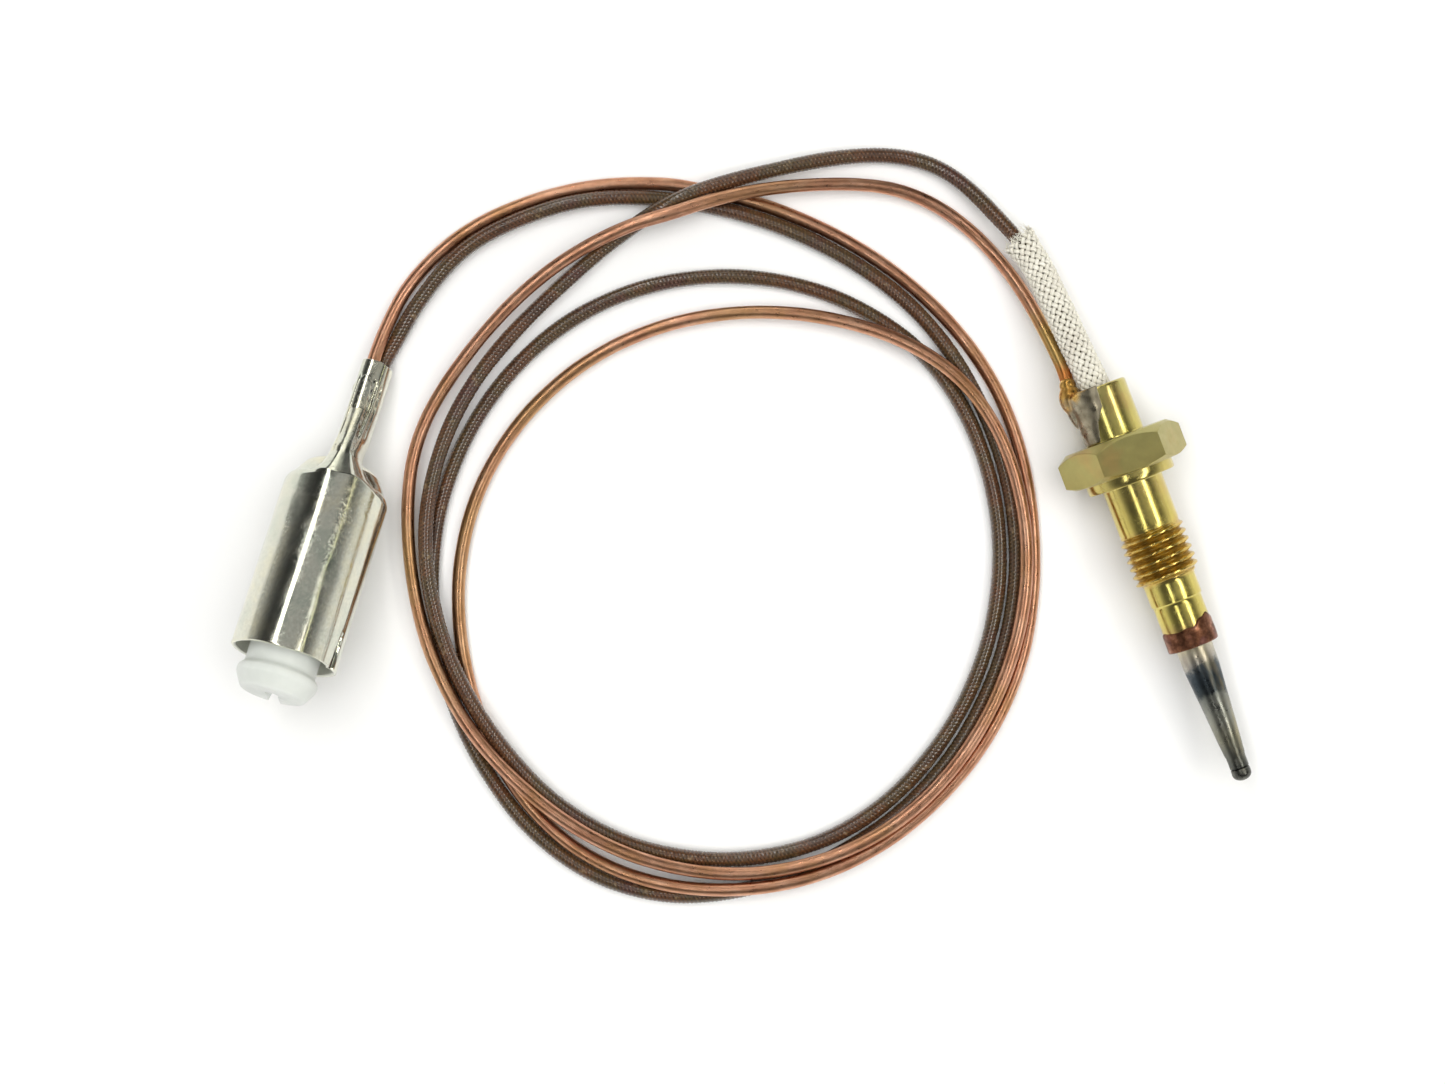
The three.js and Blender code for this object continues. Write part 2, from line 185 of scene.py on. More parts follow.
def spline(points, step):
    """A natural cubic through the points, sampled every step of its length."""
    P = np.asarray(points, float)
    d = np.r_[0, np.cumsum(np.linalg.norm(np.diff(P, axis=0), axis=1))]
    h = np.diff(d)
    n = len(P)
    A = np.zeros((n, n))
    R = np.zeros((n, 3))
    A[0, 0] = A[-1, -1] = 1
    for k in range(1, n - 1):
        A[k, k - 1], A[k, k], A[k, k + 1] = h[k - 1], 2 * (h[k - 1] + h[k]), h[k]
        R[k] = 6 * ((P[k + 1] - P[k]) / h[k] - (P[k] - P[k - 1]) / h[k - 1])
    M = np.linalg.solve(A, R)

    def at(q):
        k = np.clip(np.searchsorted(d, q, side="right") - 1, 0, n - 2)
        a, b, hk = (d[k + 1] - q)[:, None], (q - d[k])[:, None], h[k][:, None]
        return (M[k] * a**3 + M[k + 1] * b**3) / (6 * hk) + (P[k] / hk - M[k] * hk / 6) * a + (P[k + 1] / hk - M[k + 1] * hk / 6) * b

    fine = at(np.linspace(0, d[-1], int(d[-1] / 0.05) + 1))
    s = np.r_[0, np.cumsum(np.linalg.norm(np.diff(fine, axis=0), axis=1))]
    count = max(int(round(s[-1] / step)), 2) + 1
    want = np.linspace(0, s[-1], count)
    return np.stack([np.interp(want, s, fine[:, k]) for k in range(3)], -1), want


def frames(P):
    """Tangent and two normals along a line, without twist."""
    T = np.gradient(P, axis=0)
    T /= np.linalg.norm(T, axis=1)[:, None]
    U = np.zeros_like(P)
    u = np.cross(T[0], [0.0, 0.0, 1.0])
    if np.linalg.norm(u) < 0.1:
        u = np.cross(T[0], [0.0, 1.0, 0.0])
    u /= np.linalg.norm(u)
    for k in range(len(P)):
        u = u - T[k] * np.dot(u, T[k])
        u /= np.linalg.norm(u)
        U[k] = u
    return T, U, np.cross(T, U)


def tube_grid(P, radius, sides):
    """radius is a number or an array (rings, sides)."""
    T, U, W = frames(P)
    phi = np.arange(sides) * 2 * math.pi / sides
    r = np.broadcast_to(radius, (len(P), sides))
    return P[:, None, :] + r[..., None] * (np.cos(phi)[None, :, None] * U[:, None, :] + np.sin(phi)[None, :, None] * W[:, None, :])


def points_of(text):
    return np.array([[float(c) / 1000 for c in p.split(",")] for p in text.split()])


# ---------------------------------------------------------------- routes of the two leads, in thousandths of a mm,
# the same lines as LEAD_ROUTE and COPPER_ROUTE in part.mjs with more points on them
LEAD_POINTS = """
-62,18858,5000 -302,21302,4996 -480,23761,4857 -630,26230,4562 -795,28706,4141 -1028,31179,3634
-1598,33574,3080 -2426,35885,2514 -3339,38238,1957 -4464,40539,1454 -5946,42541,1059 -7839,44102,800
-10045,45263,721 -12454,46079,969 -14906,46674,1144 -17365,47112,1326 -19843,47459,1508 -22344,47749,1690
-24851,47953,1877 -27350,48049,2031 -29865,47875,2078 -32285,47483,1649 -34695,46866,1510 -37085,46135,1485
-39451,45293,1460 -41797,44375,1449 -44122,43405,1451 -46405,42361,1465 -48624,41217,1493 -50756,39943,1534
-52779,38513,1586 -54670,36900,1650 -56407,35107,1723 -57971,33154,1806 -59340,31062,1896 -60495,28852,1990
-61416,26547,2092 -62100,24162,2185 -62557,21725,2201 -62818,19258,2143 -62891,16776,2096 -62764,14298,2047
-62447,11843,2010 -61937,9424,1936 -61292,7046,1708 -60498,4704,1492 -59484,2433,1350 -58255,267,1247
-56817,-1766,1172 -55177,-3640,1107 -53346,-5333,1048 -51342,-6829,995 -49190,-8114,948 -46919,-9180,907
-44556,-10016,872 -42127,-10610,841 -39660,-10952,816 -37182,-11030,795 -34720,-10832,778 -32300,-10345,764
-29941,-9592,753 -27655,-8609,743 -25451,-7410,734 -23346,-6017,726 -21364,-4447,719 -19524,-2713,714
-17839,-841,710 -16323,1151,708 -14985,3255,705 -13836,5458,704 -12887,7751,703 -12142,10120,702
-11600,12551,701 -11269,15030,701 -11149,17543,701 -11241,20056,700 -11600,22534,700 -12228,24941,700
-13129,27247,700 -14293,29438,700 -15697,31492,700 -17312,33397,700 -19116,35141,700 -21087,36707,700
-23202,38084,700 -25440,39256,700 -27776,40217,700 -30188,40957,700 -32652,41471,700 -35146,41749,700
-37645,41785,700 -40129,41572,700 -42573,41107,700 -44963,40402,700 -47280,39472,700 -49507,38331,700
-51629,36994,700 -53628,35474,700 -55488,33787,700 -57192,31946,700 -58723,29967,700 -60066,27863,701
-61212,25650,701 -62171,23349,701 -62942,20967,701 -63519,18524,701 -63907,16038,701 -64107,13526,701
-64122,11003,701 -63952,8486,701 -63601,5991,701 -63068,3534,701 -62354,1134,701 -61402,-1163,701
-60206,-3334,701 -58774,-5364,701 -57083,-7220,701 -55151,-8861,701 -53025,-10237,701 -50752,-11303,701
-48375,-12073,701 -45932,-12597,701 -43450,-12899,701 -40947,-12995,701 -38440,-12907,701 -35946,-12647,701
-33477,-12196,701 -31048,-11560,701 -28680,-10711,701 -26393,-9668,701 -24209,-8431,701 -22140,-7010,702
-20190,-5428,702 -18368,-3701,703 -16689,-1837,704 -15165,152,705 -13807,2257,706 -12626,4464,708
-11633,6763,710 -10839,9143,713 -10248,11588,715 -9856,14083,717 -9654,16598,719 -9656,19114,719
-9824,21613,723 -10163,24081,742 -10689,26507,757 -11415,28876,775 -12355,31175,794 -13513,33387,815
-14867,35505,838 -16372,37526,855 -18003,39439,867 -19736,41231,874 -21561,42897,872 -23473,44441,857
-25475,45867,826 -27565,47165,762 -29737,48410,729 -32003,49401,1036 -34335,50255,1218 -36720,50897,1328
-39147,51284,1345 -41609,51429,1300 -44102,51385,1258 -46578,51124,1219 -48960,50526,1131 -51216,49524,1047
-53356,48258,971 -55384,46828,904 -57297,45241,804 -59169,43590,886 -60637,41685,1579 -62042,39750,2310
-63446,37816,3041 -64570,36268,3626
"""

COPPER_POINTS = """
-2616,18055,4750 -2174,20476,4520 -2171,22918,3930 -2326,25388,3125 -2561,27882,2239 -2974,30365,1426
-3630,32797,836 -4549,35130,610 -5777,37310,828 -7259,39310,977 -9013,41047,1142 -11036,42455,1312
-13275,43558,1490 -15625,44457,1677 -18016,45218,1876 -20436,45844,2086 -22880,46330,2309 -25342,46669,2546
-27817,46838,2804 -30304,46923,3061 -32788,47120,2998 -35263,47108,2857 -37716,46883,2641 -40145,46472,2455
-42538,45861,2282 -44885,45055,2127 -47180,44074,1991 -49418,42943,1875 -51593,41683,1779 -53696,40317,1705
-55696,38835,1651 -57525,37185,1619 -59115,35312,1606 -60429,33202,1613 -61509,30928,1638 -62400,28571,1679
-63122,26160,1736 -63684,23711,1807 -64087,21237,1889 -64305,18749,1983 -64310,16256,2088 -64123,13770,2203
-63742,11299,2326 -63132,8852,2442 -62299,6471,2522 -61291,4175,2543 -60142,1961,2516 -58853,-162,2462
-57409,-2176,2396 -55798,-4065,2337 -54013,-5809,2289 -52065,-7387,2252 -49977,-8785,2226 -47770,-9983,2212
-45466,-10966,2209 -43089,-11715,2218 -40659,-12204,2239 -38216,-12464,2265 -35776,-12501,2278
-33351,-12302,2265 -30948,-11851,2231 -28588,-11158,2183 -26293,-10228,2136 -24081,-9075,2097
-21967,-7723,2066 -19965,-6191,2040 -18093,-4499,2022 -16364,-2666,2009 -14796,-711,2002 -13402,1349,2001
-12193,3502,2004 -11177,5745,2012 -10360,8074,2025 -9750,10485,2040 -9356,12969,2059 -9199,15491,2080
-9309,18002,2102 -9713,20450,2126 -10439,22791,2107 -11508,24978,2095 -12891,26998,2100 -14537,28848,2019
-16387,30537,1887 -18400,32064,1767 -20528,33429,1649 -22749,34627,1536 -25047,35648,1429 -27408,36485,1328
-29820,37128,1234 -32267,37570,1147 -34736,37802,1068 -37213,37815,998 -39682,37602,935 -42130,37154,879
-44539,36470,831 -46882,35558,790 -49135,34428,755 -51270,33089,726 -53261,31552,702 -55083,29826,682
-56711,27924,666 -58134,25864,653 -59349,23673,643 -60355,21377,636 -61150,19003,630 -61739,16572,625
-62131,14101,622 -62337,11606,616 -62380,9102,611 -62195,6597,705 -61768,4138,863 -61106,1735,1011
-60176,-600,1145 -58966,-2816,1262 -57492,-4842,1385 -55794,-6659,1510 -53902,-8266,1636 -51842,-9663,1765
-49645,-10850,1893 -47337,-11827,2031 -44949,-12611,2112 -42506,-13200,2096 -40027,-13580,1982
-37518,-13710,1805 -35006,-13588,1618 -32519,-13231,1473 -30079,-12651,1361 -27700,-11862,1274
-25391,-10880,1194 -23169,-9710,1119 -21053,-8359,1050 -19061,-6836,987 -17211,-5151,930 -15520,-3313,879
-14005,-1333,834 -12668,773,795 -11501,2987,760 -10494,5289,731 -9637,7662,706 -8924,10086,685 -8364,12546,667
-7975,15029,653 -7778,17524,641 -7793,20017,632 -8037,22496,625 -8513,24948,619 -9204,27359,614
-10092,29716,611 -11156,32007,608 -12378,34218,607 -13741,36338,605 -15246,38354,605 -16881,40268,604
-18631,42080,604 -20490,43790,604 -22451,45394,605 -24505,46882,605 -26648,48245,606 -28850,49518,607
-31187,50531,608 -33576,51364,610 -36024,52003,611 -38522,52435,613 -41050,52652,615 -43582,52671,616
-46095,52481,618 -48571,52002,620 -50973,51225,627 -53277,50167,618 -55392,48781,783 -57245,47072,1139
-58957,45169,1698 -60455,43162,2415 -61860,41226,3146 -63264,39292,3877 -64950,36970,4754
"""

# ---------------------------------------------------------------- node materials
class Mat:
    def __init__(self, name, **sockets):
        self.m = bpy.data.materials.new(name)
        self.m.use_nodes = True
        self.t = self.m.node_tree
        self.t.nodes.clear()
        self.out = self.t.nodes.new("ShaderNodeOutputMaterial")
        self.b = self.t.nodes.new("ShaderNodeBsdfPrincipled")
        self.t.links.new(self.b.outputs[0], self.out.inputs["Surface"])
        for k, v in sockets.items():
            self.b.inputs[k.replace("_", " ")].default_value = v
        self._obj = None

    def link(self, a, b):
        self.t.links.new(a, b)

    def put(self, socket, value):
        if hasattr(value, "is_output"):
            self.link(value, socket)
        else:
            socket.default_value = value

    def bsdf(self, name, value):
        self.put(self.b.inputs[name], value)

    def coord(self, kind="Object"):
        n = self.t.nodes.new("ShaderNodeTexCoord")
        return n.outputs[kind]

    def mapping(self, vec, scale=(1, 1, 1), rot=(0, 0, 0), loc=(0, 0, 0)):
        n = self.t.nodes.new("ShaderNodeMapping")
        self.link(vec, n.inputs["Vector"])
        n.inputs["Scale"].default_value = scale
        n.inputs["Rotation"].default_value = rot
        n.inputs["Location"].default_value = loc
        return n.outputs[0]

    def noise(self, vec, scale, detail=4.0, rough=0.55, distort=0.0, colour=False):
        n = self.t.nodes.new("ShaderNodeTexNoise")
        self.link(vec, n.inputs["Vector"])
        n.inputs["Scale"].default_value = scale
        n.inputs["Detail"].default_value = detail
        n.inputs["Roughness"].default_value = rough
        n.inputs["Distortion"].default_value = distort
        return n.outputs["Color" if colour else "Fac"]

    def voronoi(self, vec, scale, feature="F1"):
        n = self.t.nodes.new("ShaderNodeTexVoronoi")
        n.feature = feature
        self.link(vec, n.inputs["Vector"])
        n.inputs["Scale"].default_value = scale
        return n.outputs["Distance"]

    def axis(self, vec, which):
        n = self.t.nodes.new("ShaderNodeSeparateXYZ")
        self.link(vec, n.inputs[0])
        return n.outputs["XYZ".index(which)]

    def combine(self, x, y, z):
        n = self.t.nodes.new("ShaderNodeCombineXYZ")
        for s, v in zip(n.inputs, (x, y, z)):
            self.put(s, v)
        return n.outputs[0]

    def math(self, op, a, b=0.0, c=0.0, clamp=False):
        n = self.t.nodes.new("ShaderNodeMath")
        n.operation = op
        n.use_clamp = clamp
        self.put(n.inputs[0], a)
        self.put(n.inputs[1], b)
        if len(n.inputs) > 2:
            self.put(n.inputs[2], c)
        return n.outputs[0]

    def ranged(self, v, a, b, c=0.0, d=1.0, smooth=True):
        n = self.t.nodes.new("ShaderNodeMapRange")
        n.interpolation_type = "SMOOTHSTEP" if smooth else "LINEAR"
        self.put(n.inputs["Value"], v)
        n.inputs["From Min"].default_value = a
        n.inputs["From Max"].default_value = b
        n.inputs["To Min"].default_value = c
        n.inputs["To Max"].default_value = d
        return n.outputs[0]

    def ramp(self, v, stops, interp="LINEAR"):
        n = self.t.nodes.new("ShaderNodeValToRGB")
        self.put(n.inputs[0], v)
        cr = n.color_ramp
        cr.interpolation = interp
        while len(cr.elements) < len(stops):
            cr.elements.new(0.5)
        for e, (p, c) in zip(cr.elements, sorted(stops, key=lambda q: q[0])):
            e.position = p
            e.color = (*c, 1.0) if len(c) == 3 else c
        return n.outputs["Color"]

    def mix(self, f, a, b, mode="MIX"):
        n = self.t.nodes.new("ShaderNodeMix")
        n.data_type = "RGBA"
        n.blend_type = mode
        self.put(n.inputs[0], f)
        for s, v in ((n.inputs[6], a), (n.inputs[7], b)):
            if isinstance(v, tuple) and len(v) == 3:
                v = (*v, 1.0)
            self.put(s, v)
        return n.outputs[2]

    def scaled(self, colour, f):
        """A colour times a factor."""
        g = self.combine(f, f, f)
        return self.mix(1.0, colour, g, "MULTIPLY")

    def bump(self, height, distance, strength=1.0, normal=None):
        n = self.t.nodes.new("ShaderNodeBump")
        n.inputs["Strength"].default_value = strength
        n.inputs["Distance"].default_value = distance
        self.link(height, n.inputs["Height"])
        if normal is not None:
            self.link(normal, n.inputs["Normal"])
        return n.outputs[0]

    def attribute(self, name):
        n = self.t.nodes.new("ShaderNodeAttribute")
        n.attribute_name = name
        return n.outputs["Fac"]


def srgb(r, g, b):
    f = lambda c: c / 255 / 12.92 if c / 255 <= 0.04045 else ((c / 255 + 0.055) / 1.055) ** 2.4
    return (f(r), f(g), f(b))


def station_of(m, obj):
    """Distance from the tube's mouth along the head, in mm."""
    y = m.axis(obj, "Y")
    return m.math("MULTIPLY_ADD", y, -1000.0, HEAD_L / 2)


def brass_material():
    m = Mat("brass", Metallic=1.0)
    obj, uv = m.coord("Object"), m.coord("UV")
    st = station_of(m, obj)
    pos = m.math("DIVIDE", st, 24.0)
    S = lambda s: s / 24.0
    # painted shade: the hex, stations 4.9 to 8.1, gets a darker tint than the turned parts beside it
    tint = m.ramp(pos, [
        (S(0.0), srgb(202, 190, 120)), (S(4.7), srgb(208, 194, 112)),
        (S(4.9), srgb(176, 168, 108)), (S(8.1), srgb(178, 166, 104)),
        (S(8.3), srgb(202, 186, 112)), (S(13.3), srgb(212, 194, 108)),
        (S(13.8), srgb(216, 188, 106)), (S(18.2), srgb(214, 184, 104)),
        (S(18.6), srgb(214, 198, 112)), (S(22.0), srgb(212, 196, 108)), (S(23.2), srgb(200, 172, 112)),
    ])
    mottle = m.noise(obj, 900.0, 4.0, 0.6)
    blotch = m.noise(obj, 260.0, 3.0, 0.5)
    shade = m.math("MULTIPLY_ADD", mottle, 0.26, 0.84)
    colour = m.scaled(tint, shade)
    colour = m.mix(m.ranged(blotch, 0.52, 0.72, 0.0, 0.35), colour, srgb(196, 150, 96))
    # painted shade: where the depth attribute is high, in the thread roots and inside the bore, the colour is darkened
    # to a dull brown
    root = m.attribute("depth")
    recess_shade = m.math("MULTIPLY", root, m.ranged(m.noise(obj, 1500.0, 3.0), 0.3, 0.7, 0.25, 0.6))
    colour = m.mix(recess_shade, colour, srgb(132, 100, 52))
    m.bsdf("Base Color", colour)
    hexy = m.math("MULTIPLY", m.ranged(st, 4.80, 4.92), m.ranged(st, 8.1, 8.2, 1.0, 0.0))
    rough = m.math("MULTIPLY_ADD", hexy, 0.14, 0.17)
    rough = m.math("ADD", rough, m.ranged(m.noise(obj, 1400.0, 5.0, 0.65), 0.3, 0.75, -0.03, 0.12))
    rough = m.math("ADD", rough, m.math("MULTIPLY", root, 0.2))
    m.bsdf("Roughness", rough)
    turned = m.noise(m.combine(m.math("MULTIPLY", m.axis(uv, "X"), 2.0), m.math("MULTIPLY", st, 9.0), 0.0), 1.0, 5.0, 0.7)
    mill = m.noise(m.mapping(obj, (3000.0, 700.0, 3000.0)), 1.0, 4.0, 0.6)
    hgt = m.math("ADD", m.math("MULTIPLY", turned, 1.0), m.math("MULTIPLY", m.math("MULTIPLY", mill, hexy), 0.9))
    pits = m.noise(obj, 2600.0, 3.0, 0.6)
    n1 = m.bump(hgt, 0.000005, 0.6)
    n2 = m.bump(pits, 0.0000025, 0.5, n1)
    m.bsdf("Normal", n2)
    return m.m


def solder_material():
    m = Mat("solder_joint", Metallic=1.0)
    obj = m.coord("Object")
    st = station_of(m, obj)
    mott = m.noise(obj, 1100.0, 5.0, 0.6)
    grey = m.ramp(mott, [(0.3, srgb(132, 124, 104)), (0.5, srgb(160, 151, 130)), (0.7, srgb(184, 174, 150))])
    gold = m.ramp(mott, [(0.3, srgb(176, 122, 54)), (0.5, srgb(206, 160, 84)), (0.7, srgb(232, 196, 118))])
    edge = m.math("ADD", st, m.ranged(m.noise(obj, 700.0, 3.0), 0.2, 0.8, -0.8, 0.8))
    x = m.math("MULTIPLY", m.axis(obj, "X"), 1000.0)
    side = m.ranged(x, -2.5, -1.7, 0.0, 1.2)
    f = m.ranged(m.math("ADD", edge, side), 0.0, 1.3)
    m.bsdf("Base Color", m.mix(f, gold, grey))
    m.bsdf("Roughness", m.ranged(m.noise(obj, 1500.0, 4.0), 0.3, 0.7, 0.22, 0.42))
    m.bsdf("Normal", m.bump(m.noise(obj, 1500.0, 4.0, 0.6), 0.000012, 0.5))
    return m.m


def ring_material():
    m = Mat("copper_braze", Metallic=1.0)
    obj = m.coord("Object")
    a = m.noise(obj, 1200.0, 5.0, 0.65)
    b = m.noise(obj, 420.0, 3.0, 0.5)
    c = m.ramp(a, [(0.28, srgb(56, 36, 26)), (0.44, srgb(104, 68, 50)), (0.6, srgb(142, 96, 72)), (0.76, srgb(200, 154, 130))])
    c = m.mix(m.ranged(b, 0.5, 0.68, 0.0, 0.35), c, srgb(168, 116, 112))
    m.bsdf("Base Color", c)
    m.bsdf("Roughness", m.ranged(a, 0.3, 0.7, 0.5, 0.28))
    m.bsdf("Normal", m.bump(m.noise(obj, 2200.0, 4.0, 0.6), 0.000018, 0.6))
    return m.m


def sheath_material():
    m = Mat("sheath_steel", Metallic=1.0)
    obj = m.coord("Object")
    st = station_of(m, obj)
    wob = m.ranged(m.noise(obj, 500.0, 4.0, 0.6), 0.2, 0.8, -0.55, 0.55)
    st2 = m.math("ADD", st, wob)
    pos = m.ranged(st2, 24.0, 38.0, 0.0, 1.0, smooth=False)
    S = lambda s: (s - 24.0) / 14.0
    tint = m.ramp(pos, [
        (S(24.4), srgb(206, 196, 168)), (S(25.6), srgb(196, 188, 172)), (S(26.3), srgb(172, 168, 160)),
        (S(26.7), srgb(84, 92, 98)), (S(27.6), srgb(62, 70, 76)), (S(29.0), srgb(66, 72, 74)),
        (S(29.6), srgb(128, 130, 124)), (S(31.5), srgb(150, 150, 140)), (S(33.6), srgb(140, 138, 122)),
        (S(35.0), srgb(112, 112, 104)), (S(36.4), srgb(86, 88, 86)), (S(37.5), srgb(92, 92, 88)),
    ])
    streak = m.noise(m.mapping(obj, (900.0, 110.0, 900.0)), 1.0, 4.0, 0.6)
    tint = m.scaled(tint, m.ranged(streak, 0.3, 0.7, 0.72, 1.16, smooth=False))
    warm = m.noise(m.mapping(obj, (600.0, 160.0, 600.0), loc=(3.1, 0.4, 1.7)), 1.0, 3.0)
    tint = m.mix(m.ranged(warm, 0.52, 0.72, 0.0, 0.35), tint, srgb(168, 150, 104))
    m.bsdf("Base Color", tint)
    m.bsdf("Roughness", m.ranged(m.noise(obj, 1000.0, 5.0, 0.65), 0.3, 0.7, 0.24, 0.44))
    lines = m.noise(m.mapping(obj, (250.0, 5200.0, 250.0)), 1.0, 4.0, 0.6)
    n1 = m.bump(lines, 0.000006, 0.6)
    m.bsdf("Normal", m.bump(m.noise(obj, 2600.0, 4.0), 0.000005, 0.5, n1))
    return m.m


def weld_material():
    m = Mat("weld_cap", Metallic=1.0)
    obj = m.coord("Object")
    a = m.noise(obj, 1500.0, 5.0, 0.65)
    m.bsdf("Base Color", m.ramp(a, [(0.3, srgb(70, 70, 68)), (0.55, srgb(106, 106, 100)), (0.75, srgb(150, 146, 130))]))
    m.bsdf("Roughness", m.ranged(a, 0.3, 0.7, 0.24, 0.46))
    m.bsdf("Normal", m.bump(m.noise(obj, 2400.0, 4.0), 0.000015, 0.6))
    return m.m


def copper_material():
    m = Mat("copper_wire", Metallic=1.0)
    obj, uv = m.coord("Object"), m.coord("UV")
    u, v = m.axis(uv, "X"), m.axis(uv, "Y")
    long = m.noise(m.combine(m.math("MULTIPLY", u, 5.0), m.math("MULTIPLY", v, 0.35), 0.0), 1.0, 4.0, 0.6)
    patch = m.noise(obj, 120.0, 4.0, 0.6)
    fine = m.noise(obj, 1800.0, 4.0, 0.6)
    c = m.ramp(long, [(0.3, srgb(188, 134, 104)), (0.5, srgb(208, 154, 124)), (0.7, srgb(226, 178, 148))])
    c = m.mix(m.ranged(patch, 0.5, 0.68, 0.0, 0.55), c, srgb(184, 138, 90))
    c = m.mix(m.ranged(patch, 0.30, 0.42, 0.35, 0.0), c, srgb(190, 134, 116))
    wide = m.noise(obj, 26.0, 3.0, 0.6)
    c = m.mix(m.ranged(wide, 0.5, 0.62, 0.0, 0.5), c, srgb(178, 148, 88))
    c = m.scaled(c, m.ranged(fine, 0.3, 0.7, 0.9, 1.04, smooth=False))
    # heat and flux have left the last centimetre by the joint gold, with a red band against the braze
    gold = m.math("ADD", v, m.ranged(m.noise(obj, 500.0, 3.0), 0.2, 0.8, -1.0, 1.0))
    c = m.mix(m.ranged(gold, 6.5, 10.5, 0.9, 0.0), c, srgb(206, 172, 104))
    c = m.mix(m.ranged(gold, 2.2, 3.6, 0.75, 0.0), c, srgb(214, 124, 62))
    m.bsdf("Base Color", c)
    m.bsdf("Roughness", m.ranged(m.noise(m.combine(m.math("MULTIPLY", u, 9.0), m.math("MULTIPLY", v, 1.1), 2.0), 1.0, 4.0, 0.6), 0.3, 0.7, 0.26, 0.42))
    draw = m.noise(m.combine(m.math("MULTIPLY", u, 26.0), m.math("MULTIPLY", v, 0.9), 5.0), 1.0, 3.0, 0.6)
    n1 = m.bump(draw, 0.000004, 0.5)
    m.bsdf("Normal", m.bump(fine, 0.000003, 0.5, n1))
    return m.m


def braid_material():
    m = Mat("varnished_braid", Metallic=0.0)
    obj, uv = m.coord("Object"), m.coord("UV")
    u, v = m.axis(uv, "X"), m.axis(uv, "Y")
    top = m.attribute("depth")
    patch = m.noise(obj, 160.0, 4.0, 0.6)
    fine = m.noise(obj, 2600.0, 4.0, 0.65)
    c = m.ramp(patch, [(0.32, srgb(66, 44, 30)), (0.46, srgb(92, 58, 34)), (0.56, srgb(78, 60, 34)), (0.68, srgb(80, 50, 40))])
    c = m.scaled(c, m.ranged(fine, 0.3, 0.7, 0.7, 1.25, smooth=False))
    # painted shade: the gaps between the braid's strands, where depth is high, are darkened almost to black
    c = m.mix(m.ranged(top, 0.2, 0.85, 0.0, 0.85), c, srgb(24, 17, 12))
    # painted highlight: pale flecks on the strands' crests, broken up by noise
    crest_glint = m.ranged(m.noise(obj, 900.0, 3.0, 0.6), 0.42, 0.6)
    c = m.mix(m.math("MULTIPLY", m.ranged(top, 0.0, 0.16, 0.75, 0.0), crest_glint), c, srgb(206, 190, 164))
    fleck = m.noise(obj, 1300.0, 2.0, 0.5)
    c = m.mix(m.ranged(fleck, 0.64, 0.74, 0.0, 0.45), c, srgb(140, 118, 88))
    m.bsdf("Base Color", c)
    m.bsdf("Roughness", m.ranged(fine, 0.3, 0.7, 0.34, 0.6))
    m.b.inputs["Coat Weight"].default_value = 1.0
    m.b.inputs["Coat Roughness"].default_value = 0.06
    m.b.inputs["Specular IOR Level"].default_value = 0.3
    m.b.inputs["Coat IOR"].default_value = 1.6
    fibre = m.noise(m.combine(m.math("MULTIPLY", u, 60.0), m.math("MULTIPLY", v, 7.0), 0.0), 1.0, 3.0, 0.6)
    n1 = m.bump(fibre, 0.00001, 0.7)
    m.bsdf("Normal", m.bump(m.noise(obj, 3000.0, 3.0), 0.000008, 0.5, n1))
    return m.m


def sleeve_material():
    m = Mat("glass_sleeve", Metallic=0.0, Roughness=0.75)
    obj, uv = m.coord("Object"), m.coord("UV")
    u, v = m.axis(uv, "X"), m.axis(uv, "Y")
    fibre = m.noise(m.combine(m.math("MULTIPLY", u, 24.0), m.math("MULTIPLY", v, 0.3), 0.0), 1.0, 3.0, 0.6)
    patch = m.noise(obj, 320.0, 4.0, 0.6)
    c = m.ramp(fibre, [(0.3, srgb(204, 199, 184)), (0.5, srgb(232, 228, 214)), (0.7, srgb(248, 245, 236))])
    c = m.mix(m.ranged(patch, 0.5, 0.72, 0.0, 0.35), c, srgb(206, 196, 184))
    # painted shade: each strand is darkened where it dips under the crossing strands, from its v coordinate
    crest = m.math("MULTIPLY_ADD", m.math("COSINE", m.math("MULTIPLY", v, math.pi)), 0.5, 0.5)
    c = m.mix(m.ranged(crest, 0.1, 0.85, 0.72, 0.0), c, srgb(128, 124, 106))
    m.bsdf("Base Color", c)
    m.b.inputs["Sheen Weight"].default_value = 0.2
    m.b.inputs["Sheen Roughness"].default_value = 0.45
    m.bsdf("Roughness", m.ranged(fibre, 0.3, 0.7, 0.4, 0.75))
    m.bsdf("Normal", m.bump(fibre, 0.00002, 0.8))
    return m.m


# painted shade: a dark matte sheet inside the braid, seen through the gaps between its strands as shade
def shade_sheet_material():
    m = Mat("sleeve_gap_shade", Metallic=0.0, Roughness=0.9)
    obj = m.coord("Object")
    m.bsdf("Base Color", m.ramp(m.noise(obj, 1600.0, 4.0), [(0.3, srgb(60, 55, 42)), (0.7, srgb(92, 85, 68))]))
    m.bsdf("Roughness", m.ranged(m.noise(obj, 2400.0, 3.0), 0.3, 0.7, 0.7, 0.95))
    m.bsdf("Normal", m.bump(m.noise(obj, 4200.0, 3.0), 0.00004, 0.8))
    return m.m


